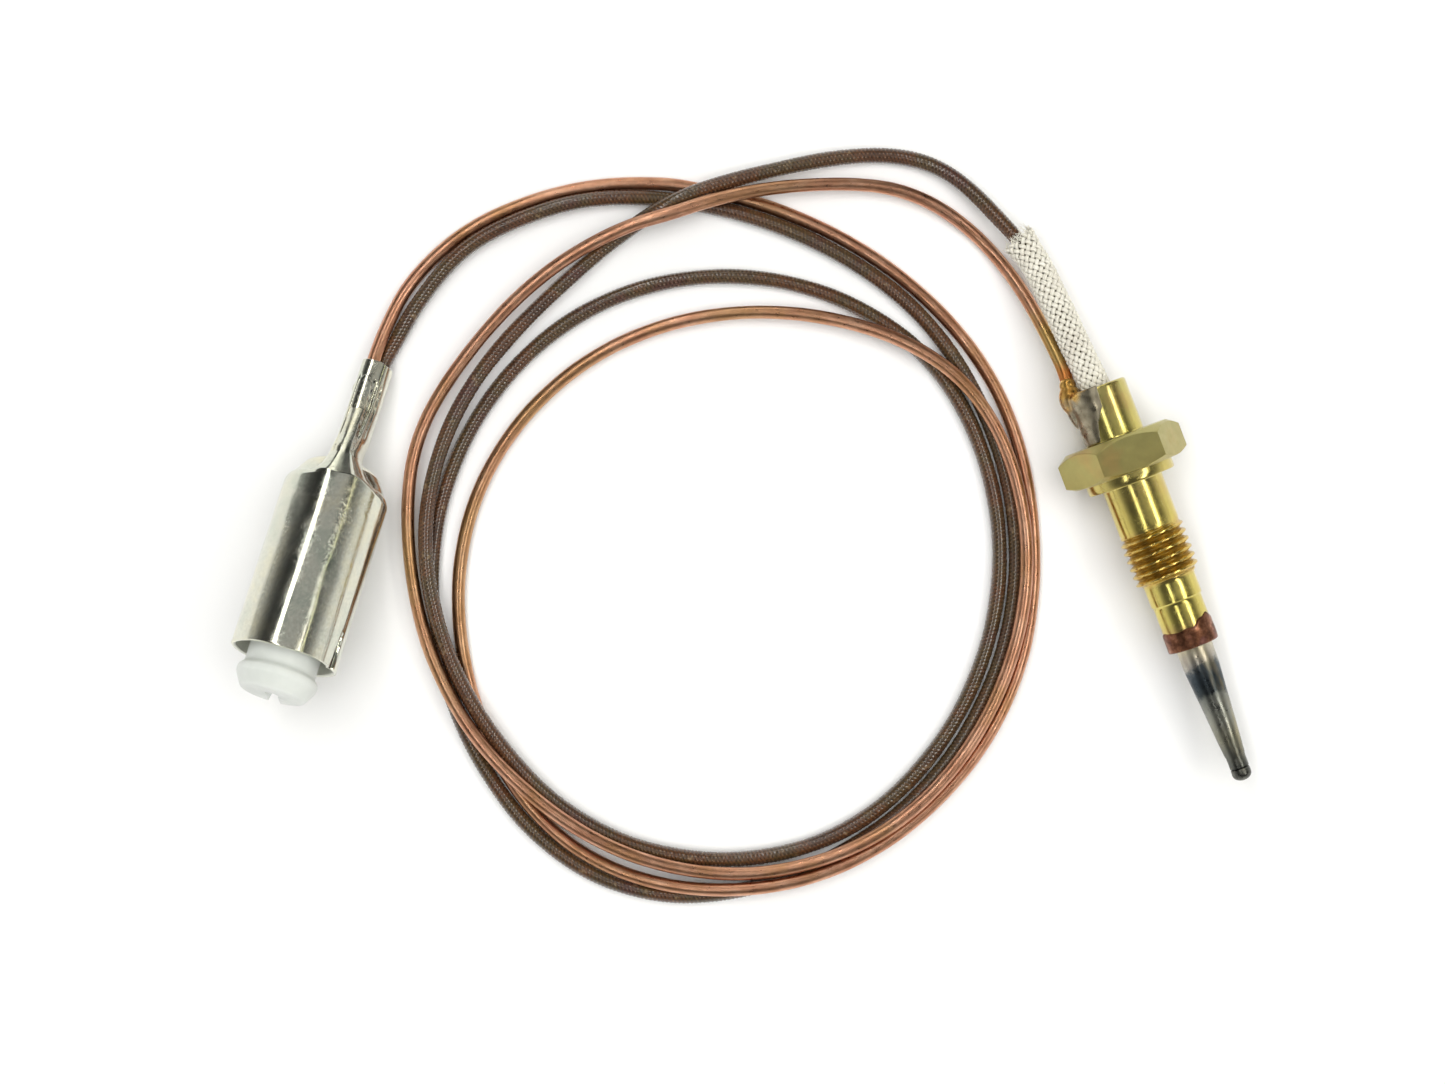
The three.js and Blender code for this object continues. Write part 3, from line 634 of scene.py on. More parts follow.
def nickel_material():
    m = Mat("nickel_plate", Metallic=1.0)
    obj, uv = m.coord("Object"), m.coord("UV")
    u, v = m.axis(uv, "X"), m.axis(uv, "Y")
    patch = m.noise(obj, 240.0, 4.0, 0.6)
    c = m.ramp(patch, [(0.3, srgb(200, 206, 192)), (0.5, srgb(218, 218, 204)), (0.7, srgb(226, 222, 198))])
    speck = m.noise(obj, 3800.0, 3.0, 0.7)
    c = m.scaled(c, m.ranged(speck, 0.3, 0.7, 0.86, 1.05, smooth=False))
    within = m.attribute("inside")
    c = m.mix(within, c, srgb(226, 226, 218))
    # painted shade: the seam's open slit is coloured near black and made matte
    slit_shade = m.ranged(m.attribute("slit"), 0.35, 0.75)
    c = m.mix(slit_shade, c, srgb(52, 54, 52))
    m.bsdf("Base Color", c)
    rub = m.noise(m.combine(m.math("MULTIPLY", u, 40.0), m.math("MULTIPLY", v, 0.5), 0.0), 1.0, 4.0, 0.6)
    band = m.ranged(m.noise(m.combine(m.math("MULTIPLY", u, 9.0), m.math("MULTIPLY", v, 0.12), 3.0), 1.0, 2.0), 0.42, 0.62)
    r = m.math("ADD", m.ranged(rub, 0.3, 0.7, 0.08, 0.18), m.math("MULTIPLY", m.ranged(speck, 0.35, 0.65), m.math("MULTIPLY", band, 0.12)))
    r = m.math("ADD", r, m.math("MULTIPLY", m.math("MAXIMUM", within, slit_shade), 0.5))
    m.bsdf("Roughness", r)
    scratch = m.noise(m.mapping(obj, (380.0, 5200.0, 2600.0), rot=(0.2, 0.3, 0.9)), 1.0, 2.0, 0.5)
    marks = m.ranged(scratch, 0.66, 0.74)
    grain = m.noise(obj, 2300.0, 4.0, 0.65)
    draw = m.noise(m.combine(m.math("MULTIPLY", u, 90.0), m.math("MULTIPLY", v, 0.25), 7.0), 1.0, 3.0, 0.5)
    n1 = m.bump(draw, 0.0000012, 0.5)
    n2 = m.bump(grain, 0.000002, 0.5, n1)
    m.bsdf("Normal", m.bump(marks, 0.000006, 0.5, n2))
    return m.m


def nylon_material():
    m = Mat("nylon", Metallic=0.0)
    obj = m.coord("Object")
    patch = m.noise(obj, 260.0, 4.0, 0.5)
    m.bsdf("Base Color", m.ramp(patch, [(0.3, srgb(206, 210, 205)), (0.7, srgb(224, 227, 222))]))
    m.bsdf("Roughness", m.ranged(m.noise(obj, 1500.0, 4.0), 0.3, 0.7, 0.32, 0.48))
    m.b.inputs["Subsurface Weight"].default_value = 0.8
    m.b.inputs["Subsurface Radius"].default_value = (1.0, 1.0, 0.95)
    m.b.inputs["Subsurface Scale"].default_value = 0.0016
    m.b.inputs["Coat Weight"].default_value = 0.15
    m.b.inputs["Coat Roughness"].default_value = 0.3
    n1 = m.bump(m.noise(obj, 900.0, 3.0), 0.00002, 0.5)
    m.bsdf("Normal", m.bump(m.noise(obj, 4200.0, 3.0), 0.000008, 0.6, n1))
    return m.m


def wire_material(name, low, high, rough=(0.25, 0.45)):
    m = Mat(name, Metallic=1.0)
    obj = m.coord("Object")
    a = m.noise(obj, 1200.0, 5.0, 0.6)
    m.bsdf("Base Color", m.ramp(a, [(0.3, low), (0.7, high)]))
    m.bsdf("Roughness", m.ranged(a, 0.3, 0.7, *rough))
    m.bsdf("Normal", m.bump(m.noise(obj, 3600.0, 3.0), 0.00001, 0.6))
    return m.m


def dress(ob, material):
    ob.data.materials.clear()
    ob.data.materials.append(material)
    return ob


# ---------------------------------------------------------------- the two leads
LEAD_STEP = 0.109
_lead_points = np.concatenate([[[0, 13.2, 5], [0, 15.0, 5], [0, 17.0, 5]], points_of(LEAD_POINTS)])
lead_line, lead_s = spline(_lead_points, LEAD_STEP)
copper_line, copper_s = spline(points_of(COPPER_POINTS), 0.32)

BRAID_SIDES, BRAID_STRANDS, BRAID_LAY = 24, 6, 2.2
phi = np.arange(BRAID_SIDES) / BRAID_SIDES
a = BRAID_STRANDS * (lead_s[:, None] / BRAID_LAY + phi[None, :])
b = BRAID_STRANDS * (lead_s[:, None] / BRAID_LAY - phi[None, :])


def strand(x, y):
    """Height of one family of strands: round across itself, over and under the other family."""
    i = np.floor(x)
    across = 1 - np.abs(2 * (x - i) - 1) ** 2.2
    return across * (0.55 + 0.45 * np.sin(math.pi * y) * np.where(i % 2 == 0, 1, -1))


weave = np.maximum(strand(a, b), strand(b, a + 1))
wave = 0.02 * wobble(3, 5, lead_s / 6.0)[:, None]
lead_radius = LEAD_R - 0.115 + 0.135 * weave + wave
# depth is 1 minus the weave's height; the braid material paints shade in the gaps and highlights on the crests from it
insulated_lead = grid_object("insulated_lead_braid", tube_grid(lead_line, lead_radius, BRAID_SIDES), v=lead_s, sharp=89.0, attrs={"depth": 1 - weave})
dress(insulated_lead, braid_material())

COPPER_SIDES = 24
copper_radius = COPPER_R + 0.012 * wobble(5, 6, copper_s / 5.0)[:, None] + 0.008 * wobble(6, 6, copper_s[:, None] / 2.0, np.sin(np.arange(COPPER_SIDES) / COPPER_SIDES * 2 * math.pi)[None, :])
copper_lead = grid_object("copper_return_wire", tube_grid(copper_line, copper_radius, COPPER_SIDES), v=copper_s, sharp=60.0)
dress(copper_lead, copper_material())

# ---------------------------------------------------------------- brass body: one surface r(station, angle)
M_HEAD = 240
ph = np.arange(M_HEAD) * 2 * math.pi / M_HEAD
HEX = 5.0 / np.cos((ph % (math.pi / 3)) - math.pi / 6)
rings = []  # station, radius array, depth array


def ring(s, r, depth=0.0):
    rings.append((np.broadcast_to(s, (M_HEAD,)).astype(float), np.broadcast_to(r, (M_HEAD,)).astype(float), np.broadcast_to(depth, (M_HEAD,)).astype(float)))


ring(3.2, 1.60, 0.6)
ring(1.6, 1.63, 0.4)
ring(0.22, 1.66)
ring(0.05, 1.76)
ring(0.0, 1.86)
ring(0.0, 2.36)
for q in range(1, 7):
    e = q * math.pi / 12
    ring(0.26 * (1 - math.cos(e)), 2.39 + 0.26 * math.sin(e))
for s in (0.8, 1.6, 2.4, 3.2, 4.0, 4.55):
    ring(s, 2.65)
ring(4.72, 2.66)
ring(4.81, 2.72)
ring(4.855, 2.86)
ring(4.86, 4.5)
for s in np.arange(4.86, 5.68, 0.035):
    ring(s, np.minimum(HEX - 0.03, 4.70 + (s - 4.86) * 1.42))
for s in (5.75, 6.3, 6.9, 7.4):
    ring(s, HEX - 0.03)
for s in np.arange(7.55, 8.141, 0.035):
    ring(s, np.minimum(HEX - 0.03, 4.86 + (8.14 - s) * 1.9))
ring(8.14, 4.75)
ring(8.14, 4.06)
ring(8.2, 4.0)
ring(8.5, 4.0)
ring(8.93, 4.0)
ring(9.03, 3.95)
ring(9.07, 3.84)
ring(9.07, 2.95)
ring(9.10, 2.82)
ring(9.18, 2.76)
for s in np.linspace(9.4, 13.2, 14):
    ring(s, 2.75)
ring(13.38, 2.73)
thread_a = np.arange(13.46, 18.36, 0.046)
for s in thread_a:
    x = ((s - 13.5) / 0.75 - ph / (2 * math.pi)) % 1.0
    h = np.clip((1 - np.abs(2 * x - 1)) * 1.28 - 0.06, 0, 1)
    h = h * h * (3 - 2 * h) * 0.35 + h * 0.65
    nick = 0.03 * wobble(21, 7, s * 2.5, np.cos(ph) * 2, np.sin(ph) * 2)
    fade = smoothstep(13.46, 13.95, s) * (1 - smoothstep(18.0, 18.35, s))
    r = (2.50 + 0.46 * h * (1 + nick)) * fade + (1 - fade) * (2.72 if s < 16 else 2.40)
    ring(s, r, (1 - h) * fade)
ring(18.4, 2.37)
for s in (18.6, 19.2, 19.8, 20.15):
    ring(s, 2.35)
ring(20.3, 2.34)
ring(20.38, 2.27)
ring(20.46, 2.23)
for s in (20.7, 21.3, 22.0, 22.6, 22.9):
    ring(s, 2.22)
ring(23.02, 2.20)
ring(23.05, 2.12)
ring(23.05, 1.72, 0.5)
ring(22.2, 1.70, 0.8)
S_, R_, D_ = (np.stack([r[k] for r in rings]) for k in range(3))
mid = (S_ > 0.3) & (S_ < 4.6)
R_ = R_ + 0.006 * wobble(11, 6, S_ / 3, np.cos(ph)[None, :] * 1.5, np.sin(ph)[None, :] * 1.5)
# the depth attribute carries the painted shade of the thread roots and the bore into the brass material
body = grid_object("brass_body_turned", head_point(S_, R_, ph[None, :]), v=S_[:, 0], sharp=28.0, attrs={"depth": D_})
dress(body, brass_material())

# ---------------------------------------------------------------- braze ring: its upper edge runs up the nose
m_ = 120
pr = np.arange(m_) * 2 * math.pi / m_
rise = 0.16 + 0.95 * np.exp(-((np.mod(pr + math.pi, 2 * math.pi) - math.pi - 0.75) / 0.62) ** 2) + 0.14 * wobble(31, 6, np.cos(pr) * 3, np.sin(pr) * 3)
rise = np.clip(rise, 0.03, 1.4)
top = 23.2 - rise
R, S = [], []
for f, dr in ((0.0, -0.03), (0.0, 0.035), (0.05, 0.07), (0.2, 0.10), (0.5, 0.11)):
    S.append(top + f * (23.3 - top))
    R.append(np.full(m_, 2.225 + dr))
for s, r in ((23.3, 2.335), (23.7, 2.33), (24.2, 2.325), (24.55, 2.315), (24.66, 2.27), (24.70, 2.18), (24.71, 1.95), (24.68, 1.72), (24.60, 1.64), (23.4, 1.60)):
    S.append(np.full(m_, s))
    R.append(np.full(m_, r))
S, R = np.stack(S), np.stack(R)
R = R + 0.018 * wobble(33, 7, S * 1.6, np.cos(pr)[None, :] * 2.5, np.sin(pr)[None, :] * 2.5) * (R > 1.7)
ring_ob = grid_object("braze_ring_run", head_point(S, R, pr[None, :]), v=S[:, 0], sharp=50.0)
dress(ring_ob, ring_material())

# ---------------------------------------------------------------- sheath and weld cap
profile = [(24.2, 1.66), (24.62, 1.70), (24.85, 1.645), (25.5, 1.63), (26.5, 1.62), (26.75, 1.60)]
for s in np.linspace(27.0, 34.9, 24):
    profile.append((s, 1.60 - (s - 26.75) * (1.60 - 0.95) / (34.9 - 26.75)))
profile += [(35.05, 0.925), (35.2, 0.885), (35.5, 0.875), (36.1, 0.87), (36.27, 0.862), (36.33, 0.80), (36.36, 0.70)]
profile = np.array(profile)
S = np.repeat(profile[:, :1], 96, 1)
pp = np.arange(96) * 2 * math.pi / 96
R = np.repeat(profile[:, 1:], 96, 1)
R = R + 0.012 * wobble(41, 6, S / 2.2, np.cos(pp)[None, :] * 1.5, np.sin(pp)[None, :] * 1.5) * (S > 25)
sheath = grid_object("sheath_tapered", head_point(S, R, pp[None, :]), v=S[:, 0], sharp=40.0)
dress(sheath, sheath_material())
cap = [(36.34, 0.70), (36.36, 0.80), (36.42, 0.865), (36.7, 0.885)]
for q in range(0, 9):
    e = q * math.pi / 18
    cap.append((36.88 + 0.62 * math.sin(e), max(0.885 * math.cos(e), 0.02)))
cap = np.array(cap)
S = np.repeat(cap[:, :1], 72, 1)
pp = np.arange(72) * 2 * math.pi / 72
R = np.repeat(cap[:, 1:], 72, 1)
R = R + 0.02 * wobble(43, 6, S * 1.4, np.cos(pp)[None, :] * 2.0, np.sin(pp)[None, :] * 2.0) * smoothstep(0, 0.5, R)
weld = grid_object("weld_cap_round", head_point(S, R, pp[None, :]), v=S[:, 0], sharp=40.0)
dress(weld, weld_material())


# ---------------------------------------------------------------- solder: a bulb round the copper wire that runs down the tube's wall
def ellipsoid(centre, radii, n=24, m=32):
    t = np.linspace(0.02, math.pi - 0.02, n)[:, None]
    p = (np.arange(m) * 2 * math.pi / m)[None, :]
    return np.stack([centre[0] + radii[0] * np.sin(t) * np.cos(p), centre[1] + radii[1] * np.cos(t) + 0 * p, centre[2] + radii[2] * np.sin(t) * np.sin(p)], -1)


def remeshed(name, grids, voxel, smooth, scale=1.0):
    """Closed grids joined into one skin by voxel remeshing, worked in mm and then brought to metres."""
    V, F, at = [], [], 0
    for G in grids:
        verts, faces, _ = grid_arrays(G, True, True, 1.0, None, at)
        V.append(verts)
        F += [tuple(int(q) for q in f) for part_ in faces for f in part_]
        at += len(verts)
    me = bpy.data.meshes.new(name)
    me.from_pydata(np.concatenate(V).tolist(), [], F)
    bm = bmesh.new()
    bm.from_mesh(me)
    bmesh.ops.recalc_face_normals(bm, faces=bm.faces)
    bm.to_mesh(me)
    bm.free()
    ob = bpy.data.objects.new(name + "_tmp", me)
    scene.collection.objects.link(ob)
    mod = ob.modifiers.new("remesh", "REMESH")
    mod.mode = "VOXEL"
    mod.voxel_size = voxel
    sm = ob.modifiers.new("smooth", "SMOOTH")
    sm.factor, sm.iterations = 0.5, smooth
    dg = bpy.context.evaluated_depsgraph_get()
    new = bpy.data.meshes.new_from_object(ob.evaluated_get(dg))
    bpy.data.objects.remove(ob)
    new.name = name
    new.transform(Matrix.Scale(MM, 4))
    new.polygons.foreach_set("use_smooth", np.ones(len(new.polygons), bool))
    out = bpy.data.objects.new(name, new)
    scene.collection.objects.link(out)
    return out


def fillet_grid():
    """The sheet of solder on the tube's left side: closed, from inside the tube's skin to just proud of it."""
    n_s, n_p = 60, 70
    s = np.linspace(-0.12, 4.80, n_s)[:, None]
    f = np.linspace(0, 1, n_p)[None, :]
    right = np.radians(np.interp(s[:, 0], [-0.12, 1.9, 2.3, 3.2, 4.8], [97, 101, 108, 120, 128]))[:, None]
    left = np.radians(np.interp(s[:, 0], [-0.12, 1.5, 4.8], [222, 214, 200]))[:, None]
    p = right + f * (left - right)
    lip = smoothstep(0, 0.16, f) * smoothstep(0, 0.2, 1 - f)
    ends = smoothstep(-0.12, 0.35, s)
    thick = 0.05 + 0.10 * lip * (0.75 + 0.25 * wobble(51, 6, s / 1.2, f * 4)) + 0.32 * np.exp(-((p - math.radians(176)) / 0.5) ** 2) * np.exp(-(s / 1.5) ** 2)
    outer = head_point(s, 2.64 + thick * (0.4 + 0.6 * ends), p)
    inner = head_point(s, 2.40 + 0 * p, p)
    return np.concatenate([outer, inner[:, ::-1]], axis=1)


wire_end, _ = spline(points_of(COPPER_POINTS)[:2], 0.15)
neck_line = wire_end[:16]
neck_r = np.linspace(0.86, 0.60, len(neck_line))[:, None] * np.ones((1, 24))
blob = remeshed("solder_joint", [
    fillet_grid(),
    ellipsoid((-2.44, 18.40, 4.85), (1.10, 1.48, 1.10)),
    ellipsoid((-2.52, 17.35, 4.80), (0.72, 1.75, 0.90)),
    ellipsoid((-2.30, 19.75, 4.72), (0.76, 0.75, 0.78)),
], 0.07, 9)
dress(blob, solder_material())

# ---------------------------------------------------------------- sleeve: twenty-four glass strands woven over and under
sleeve_line_all = lead_line[(lead_s > 0.9)]
sleeve_len = 19.05
sleeve_line = lead_line[(lead_s > 1.6) & (lead_s < 1.6 + sleeve_len)]
q_ = np.linspace(0, 1, 300)
d_ = np.r_[0, np.cumsum(np.linalg.norm(np.diff(sleeve_line, axis=0), axis=1))]
sleeve_p = np.stack([np.interp(q_ * d_[-1], d_, sleeve_line[:, k]) for k in range(3)], -1)
sleeve_s = q_ * d_[-1]
sT, sU, sW = frames(sleeve_p)
SLEEVE_MOUTH = 1.6 - 5.55  # station of the sleeve's hidden end, from the tube's mouth
CARRIERS, LAY = 12, 9.2
end_from = d_[-1] - 2.2


def on_sleeve(s, r, ang):
    """Point at length s along the sleeve, radius r, angle ang; past its end it goes straight on."""
    k = np.interp(s, sleeve_s, np.arange(len(sleeve_s)))
    i = np.clip(k.astype(int), 0, len(sleeve_s) - 2)
    w = (k - i)[..., None]
    P = sleeve_p[i] * (1 - w) + sleeve_p[i + 1] * w
    U = sU[i] * (1 - w) + sU[i + 1] * w
    W = sW[i] * (1 - w) + sW[i + 1] * w
    over = np.clip(s - sleeve_s[-1], 0, None)[..., None]
    P = P + over * sT[-1]
    return P + (r * np.cos(ang))[..., None] * U + (r * np.sin(ang))[..., None] * W, U, W


def side_angle(direction):
    """Angle round the sleeve's end that faces a direction in the row frame."""
    d = np.array(direction, float)
    return math.atan2(np.dot(d, sW[-1]), np.dot(d, sU[-1]))


right_side = side_angle((0.9357, -0.3528, 0.0))
strands = []
for fam in (1, -1):
    for k in range(CARRIERS):
        start_angle = 2 * math.pi * k / CARRIERS
        a_end = start_angle + fam * 2 * math.pi * d_[-1] / LAY
        extra = 0.18 * RNG.normal() + 0.62 * max(math.cos(a_end - right_side), 0.0) ** 2 - 0.1
        length = d_[-1] + extra
        s = np.arange(0, length, 0.085)
        ang = start_angle + fam * 2 * math.pi * s / LAY
        under = np.cos(math.pi * s / (LAY / (2 * CARRIERS)))
        flare = 1 + 0.17 * smoothstep(end_from, d_[-1] + 0.2, s) ** 1.5
        loose = smoothstep(end_from + 0.8, d_[-1] + 0.6, s)
        r = (1.19 + 0.12 * fam * under) * flare + 0.10 * loose * RNG.normal() * 0.6
        C, U, W = on_sleeve(s, r, ang)
        C = C + 0.02 * np.stack([wobble(100 + k + 40 * (fam + 1), 4, s / 1.3 + q) for q in (0.0, 9.0, 17.0)], -1)
        T = np.gradient(C, axis=0)
        T /= np.linalg.norm(T, axis=1)[:, None]
        out = U * np.cos(ang)[:, None] + W * np.sin(ang)[:, None]
        out -= T * np.sum(out * T, 1)[:, None]
        out /= np.linalg.norm(out, axis=1)[:, None]
        side = np.cross(T, out)
        wide = 0.185 * (1 + 0.06 * RNG.normal()) * (1 - 0.25 * loose)
        thin = 0.11
        e = np.arange(8) * math.pi / 4 + math.pi / 8
        taper = (1 - 0.5 * smoothstep(length - 0.25, length, s))[:, None]
        G = C[:, None, :] + (wide[:, None] * taper * np.cos(e)[None, :])[..., None] * side[:, None, :] + (thin * taper * np.sin(e)[None, :])[..., None] * out[:, None, :]
        # v counts crossings along each strand, so the sleeve material's painted shade falls where it goes under
        strands.append((G, s / (LAY / (2 * CARRIERS)) + (0.0 if fam == 1 else 1.0)))
for _ in range(90):  # loose filaments at the cut end
    ang = RNG.uniform(0, 2 * math.pi)
    reach = 0.5 + 0.5 * RNG.random() + 0.5 * max(math.cos(ang - right_side), 0)
    s0 = d_[-1] - 0.7 + 0.4 * RNG.random()
    s = s0 + np.linspace(0, reach, 9)
    r = 1.24 + 0.12 * RNG.random() + np.linspace(0, 1, 9) ** 2 * RNG.normal() * 0.22
    C, U, W = on_sleeve(s, np.clip(r, 0.9, 1.75), ang + np.linspace(0, 1, 9) * RNG.normal() * 0.5)
    strands.append((tube_grid(C, np.linspace(0.035, 0.018, 9)[:, None] * np.ones((1, 5)), 5), np.linspace(0, 0.3, 9)))
sleeve = many_objects("fibreglass_braid", strands)
dress(sleeve, sleeve_material())
# a dark sheet inside the braid that paints the shade in its gaps
shade_sheet_r = 1.08 * (1 + 0.1 * smoothstep(end_from, d_[-1], sleeve_s[:-8]))[:, None] * np.ones((1, 40))
shade_sheet_out, shade_sheet_in = tube_grid(sleeve_p[:-8], shade_sheet_r, 40), tube_grid(sleeve_p[:-8], 0.86, 40)
shade_sheet = grid_object("sleeve_liner", np.concatenate([shade_sheet_out, shade_sheet_in[::-1], shade_sheet_out[:1]]), False, False, sharp=60.0)
dress(shade_sheet, shade_sheet_material())

# ---------------------------------------------------------------- connector shell: one surface r(station, angle)
M_SHELL = 256
pc = np.arange(M_SHELL) * 2 * math.pi / M_SHELL
cosp, sinp = np.cos(pc), np.sin(pc)
SHELL_R, SHOULDER, SHELL_END = 4.75, 12.75, 28.47


def box_round(hx, hz, n):
    return 1.0 / ((np.abs(cosp) / hx) ** n + (np.abs(sinp) / hz) ** n) ** (1.0 / n)


def bump_at(s, s0, ws, p0, wp):
    d = (np.degrees(pc) - p0 + 180) % 360 - 180
    return np.exp(-((s - s0) / ws) ** 2) * np.exp(-(d / wp) ** 2)


def neck_radius(s):
    """Crimped neck: a folded strip down its front, a creased right side with the tool's teeth in it."""
    deg = np.degrees(pc)
    low = smoothstep(8.9, 10.2, s)
    hx = np.where(cosp > 0, 1.46 - 0.14 * smoothstep(7.2, 8.4, s) + 0.22 * low, 1.40 + 0.16 * smoothstep(7.8, 9.4, s))
    hz = np.where(sinp > 0, max(1.44, 1.44 + 0.43 * (s - 4.9)), 1.44)
    r = 1.0 / ((np.abs(cosp) / hx) ** 2.7 + (np.abs(sinp) / hz) ** 2.7) ** (1 / 2.7)
    x = r * cosp
    # the folded strip, lying on the front from its rounded end down to the shoulder
    start = 1.62 + 0.30 * np.clip(np.abs(x + 0.42) / 0.42, 0, 1.5) ** 2.5
    right_edge = 0.02 + 0.045 * s
    on = smoothstep(0, 0.10, s - start) * smoothstep(-0.96, -0.84, x) * (1 - smoothstep(right_edge - 0.02, right_edge + 0.16, x)) * (sinp > 0)
    r = r + 0.12 * on * (1 - low)
    # grooves beside the strip, and on the back the butt of the two edges
    r = r - 0.17 * np.exp(-((x + 1.03) / 0.09) ** 2) * (sinp > 0) * smoothstep(1.4, 2.4, s) * (1 - smoothstep(9.2, 10.4, s))
    r = r - 0.16 * np.exp(-((deg - 270) / 4.0) ** 2) * (1 - smoothstep(8.8, 10.2, s))
    # right side: a folded ridge between two creases, with the teeth of the crimping tool
    teeth = 0.5 + 0.5 * math.cos(2 * math.pi * (s - 2.8) / 0.92)
    far = smoothstep(1.9, 2.9, s) * (1 - smoothstep(7.2, 8.4, s)) * (sinp > 0)
    r = r - (0.15 + 0.03 * teeth) * np.exp(-((x - 0.66) / 0.10) ** 2) * far
    r = r - (0.10 + 0.03 * teeth) * np.exp(-((x - 1.12) / 0.08) ** 2) * far
    r = r - 0.035 * teeth * np.exp(-((x - 0.36) / 0.10) ** 2) * smoothstep(1.2, 2.0, s) * (1 - smoothstep(6.6, 7.6, s)) * (sinp > 0)
    r = r + 0.13 * bump_at(s, 2.75, 0.42, 170, 12) - 0.05 * bump_at(s, 1.9, 0.3, 170, 10) + 0.15 * bump_at(s, 8.9, 0.6, 170, 14)
    # the teeth's marks on the back
    r = r - 0.05 * teeth * (np.exp(-((deg - 235) / 9.0) ** 2) + np.exp(-((deg - 305) / 9.0) ** 2)) * smoothstep(2.6, 3.2, s) * (1 - smoothstep(7.0, 8.0, s))
    return r + 0.005 * wobble(61, 8, np.full(M_SHELL, s / 1.6), cosp * 1.6, sinp * 1.6)


side_u = [0.0, 0.45, 0.77, 1.4, 2.1, 2.45, 2.62, 2.74, 2.79, 2.81]
side_r = [4.72, 4.52, 4.22, 3.86, 3.42, 2.98, 2.58, 2.1, 1.7, 1.30]
ridge_u = [-1.2, -0.3, 0.06, 0.35, 0.66, 1.05, 1.5, 2.1, 2.73, 3.5]
ridge_left = [4.75, 4.70, 4.30, 3.50, 2.85, 2.35, 1.98, 1.72, 1.56, 1.50]
ridge_right = [4.75, 4.72, 4.55, 4.20, 3.65, 3.05, 2.60, 2.15, 1.75, 1.50]
ridge_power = [2.0, 2.05, 2.2, 2.4, 2.7, 2.9, 3.0, 3.0, 2.9, 2.7]


def shoulder_radius(u):
    """u is the distance from the corner towards the neck: two rounded side ears, and between them the neck's ridge spreading into the body."""
    rs = float(np.interp(u, side_u, side_r)) if u > 0 else SHELL_R - 0.03 * max(0.0, 1 + u / 0.25) if u > -0.25 else SHELL_R
    front = SHELL_R - 0.02 * max(0.0, u) if u < 0.7 else SHELL_R - 0.014 - 0.43 * (u - 0.7)
    back = float(np.interp(u, [-0.4, 0.2, 0.75, 1.35, 1.8, 2.35, 3.0, 3.8, 4.6], [4.70, 4.34, 3.80, 3.20, 2.80, 2.30, 1.86, 1.58, 1.44]))
    w = np.where(cosp > 0, np.interp(u, ridge_u, ridge_right), np.interp(u, ridge_u, ridge_left))
    n = float(np.interp(u, ridge_u, ridge_power))
    ridge = 1.0 / ((np.abs(cosp) / w) ** n + (np.abs(sinp) / np.where(sinp > 0, front, back)) ** n) ** (1 / n)
    squash = np.where(sinp > 0, 0.94, 0.98)
    ear = 1.0 / np.sqrt((cosp / rs) ** 2 + (sinp / (rs * (1 - (1 - squash) * smoothstep(0.0, 1.2, u)))) ** 2)
    k = 0.03
    r = k * np.logaddexp(ear / k, ridge / k) if u > -1.2 else np.full(M_SHELL, SHELL_R)
    fold = 0.05 * np.exp(-((ear - ridge) / 0.09) ** 2) * smoothstep(0.25, 0.8, u) * (1 - smoothstep(2.3, 2.7, u))
    return np.minimum(r - fold, SHELL_R)


rows = []  # (station array, radius array)


def row(s, r):
    rows.append((np.broadcast_to(s, (M_SHELL,)).astype(float), np.broadcast_to(r, (M_SHELL,)).astype(float)))


deg_ = np.degrees(pc)
lip = 0.30 * smoothstep(0.35, 0.95, cosp * 1.34) * (sinp > -0.6) + 0.06 * wobble(71, 5, cosp * 3, sinp * 3)
inner = 1.0 / ((np.abs(cosp) / 1.14) ** 3.0 + (np.abs(sinp) / 1.34) ** 3.0) ** (1 / 3.0)
row(2.6, np.minimum(inner, 1.24) * 0.98)
row(1.0 + lip * 0.5, inner)
row(0.10 + lip, inner)
row(0.02 + lip, inner + 0.05)
first = neck_radius(0.0)
row(0.0 + lip, first - 0.06)
row(0.05 + lip, first)
for s in np.arange(0.15, 9.6, 0.085):
    row(s + lip * max(0.0, 1 - s / 1.2), neck_radius(s))
us = np.concatenate([np.arange(3.1, 2.85, -0.08), [2.83, 2.815, 2.80, 2.785, 2.765, 2.74, 2.71, 2.67, 2.62, 2.56, 2.50, 2.44], np.arange(2.38, -1.75, -0.06), [-1.8]])
for u in us:
    s = SHOULDER - u
    n_r = neck_radius(min(s, 10.4))
    e_r = shoulder_radius(u)
    k = 0.07
    r = k * np.logaddexp(n_r / k, e_r / k) if u < 2.82 else n_r
    if u >= 2.82:
        r = n_r + 0.0
    r = np.minimum(r, SHELL_R)
    row(s, r)


def wall(s):
    """The drawn tube: slightly dented, with the seam's end open at the mouth on the right."""
    seam = -0.30 * np.exp(-((deg_ - 19) / (1.2 + 2.6 * smoothstep(24.8, 28.2, s))) ** 4) * smoothstep(24.9, 26.2, s)
    line = -0.02 * np.exp(-((deg_ - 16) / 1.0) ** 2)
    dent = -0.05 * bump_at(s, 16.0, 1.2, 118, 9) - 0.035 * bump_at(s, 21.5, 1.6, 60, 7) + 0.05 * bump_at(s, 28.4, 0.8, 345, 12) - 0.06 * bump_at(s, 28.5, 0.9, 150, 14)
    return SHELL_R + seam + line + dent + 0.014 * wobble(81, 8, np.full(M_SHELL, s / 4.0), cosp * 2, sinp * 2)


